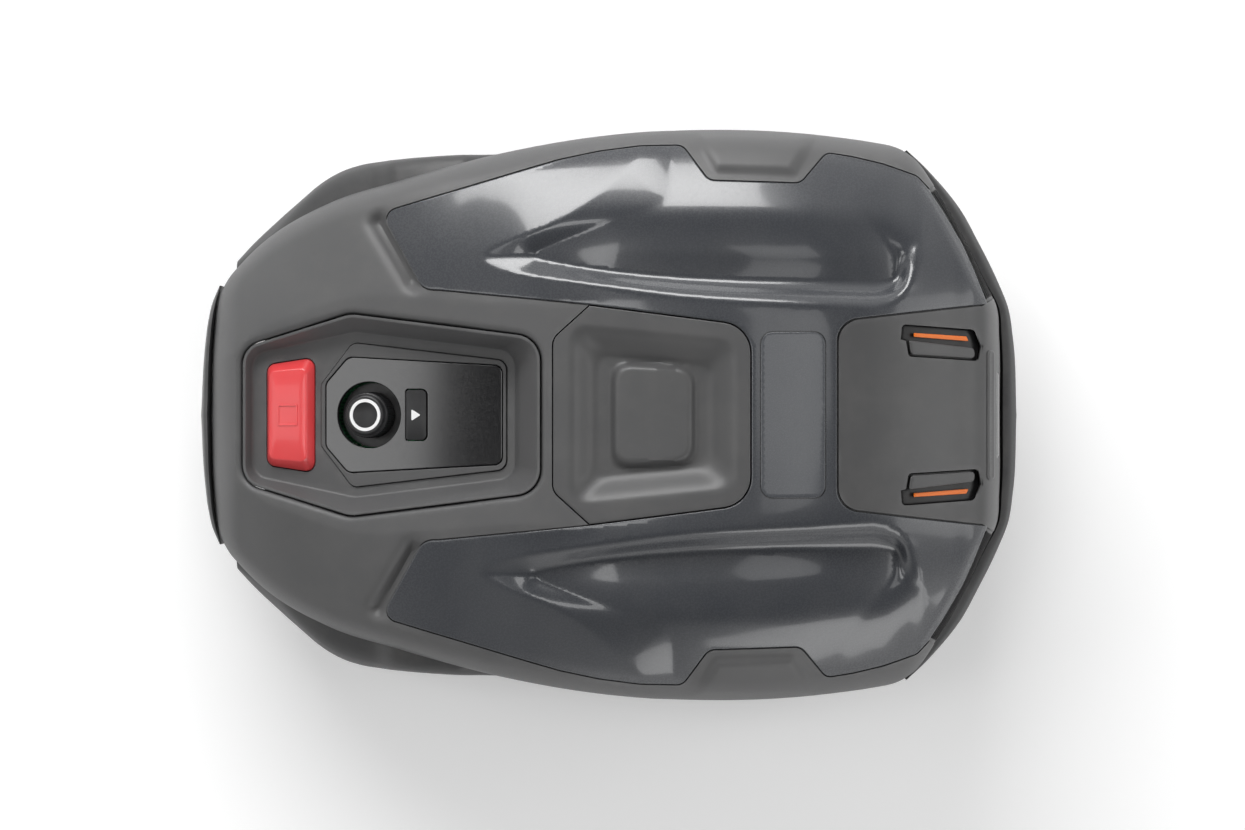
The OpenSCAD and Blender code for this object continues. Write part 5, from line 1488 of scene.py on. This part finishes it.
feed(sky, sky.nodes["Background"].inputs["Strength"], brightness)
sky.nodes["Background"].inputs["Color"].default_value = (1, 1, 1, 1)
bpy.context.scene.view_settings.view_transform = "Standard"
print("floor, six lamps and a sky")

# %% [markdown]
# ## Last measures
# Each image point is set against where its piece now shows.

# %% Image points against the pieces that show them
outer_pieces = [shell, cover, label, hatch, nose, bowl, bezel, glass, stop_piece, start_piece, sign,
                knob, lamps, lamp_hoods, strips, vent_piece, brow, window, fender, bumper, tail]
outer_tree = tree_of(*outer_pieces)


def corners_of(piece):
    flat = np.empty(len(piece.data.vertices) * 3)
    piece.data.vertices.foreach_get("co", flat)
    return flat.reshape(-1, 3)


def seen_middle(piece, keep=None):
    """The middle, in the photograph's frame, of those vertices of a piece that show to the camera."""
    places = corners_of(piece)
    if keep is not None:
        places = places[keep(places[:, 0] / MM, places[:, 1] / MM)]
    clear = []
    for place in places:
        aim = Vector(place) - camera.location
        hit = outer_tree.ray_cast(camera.location, aim.normalized())
        clear.append(hit[0] is None or hit[3] > aim.length - 0.5 * MM)
    shown = shown_at(places[np.array(clear, bool)])
    return (shown.min(0) + shown.max(0)) / 2 if len(shown) else None


def on_pad(x, y):
    return box_distance(x, np.abs(y), *PAD_BOX, PAD_SLANT) > 3


def on_grip(x, y):
    return held_in(x, y, grip_outline) & (from_line(x, y, grip_outline) > 6) & (y < 214)


def on_ledge(side):
    return lambda x, y: (side * y > 0) & (finger_dent(x, np.abs(y)) > 3)


what_shows = {
    "stop_button": (stop_piece, None), "jog_knob": (knob, None), "start_button": (start_piece, None),
    "start_sign": (sign, None), "hatch_pad": (hatch, on_pad), "label_plate": (label, None),
    "grip_left": (shell, on_grip), "orange_strip_left": (strips, lambda x, y: y > 0),
    "orange_strip_right": (strips, lambda x, y: y < 0), "nose_brow": (brow, None),
    "nose_window": (window, None), "rear_ledge_left": (shell, on_ledge(1)),
    "rear_ledge_right": (shell, on_ledge(-1)),
}
all_shown = shown_at(np.vstack([corners_of(piece) for piece in outer_pieces]))
for name, (piece, keep) in what_shows.items():
    middle = seen_middle(piece, keep)
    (None if middle is None else [round(float(m - p), 1)
                                                      for m, p in zip(middle, image_points[name])])
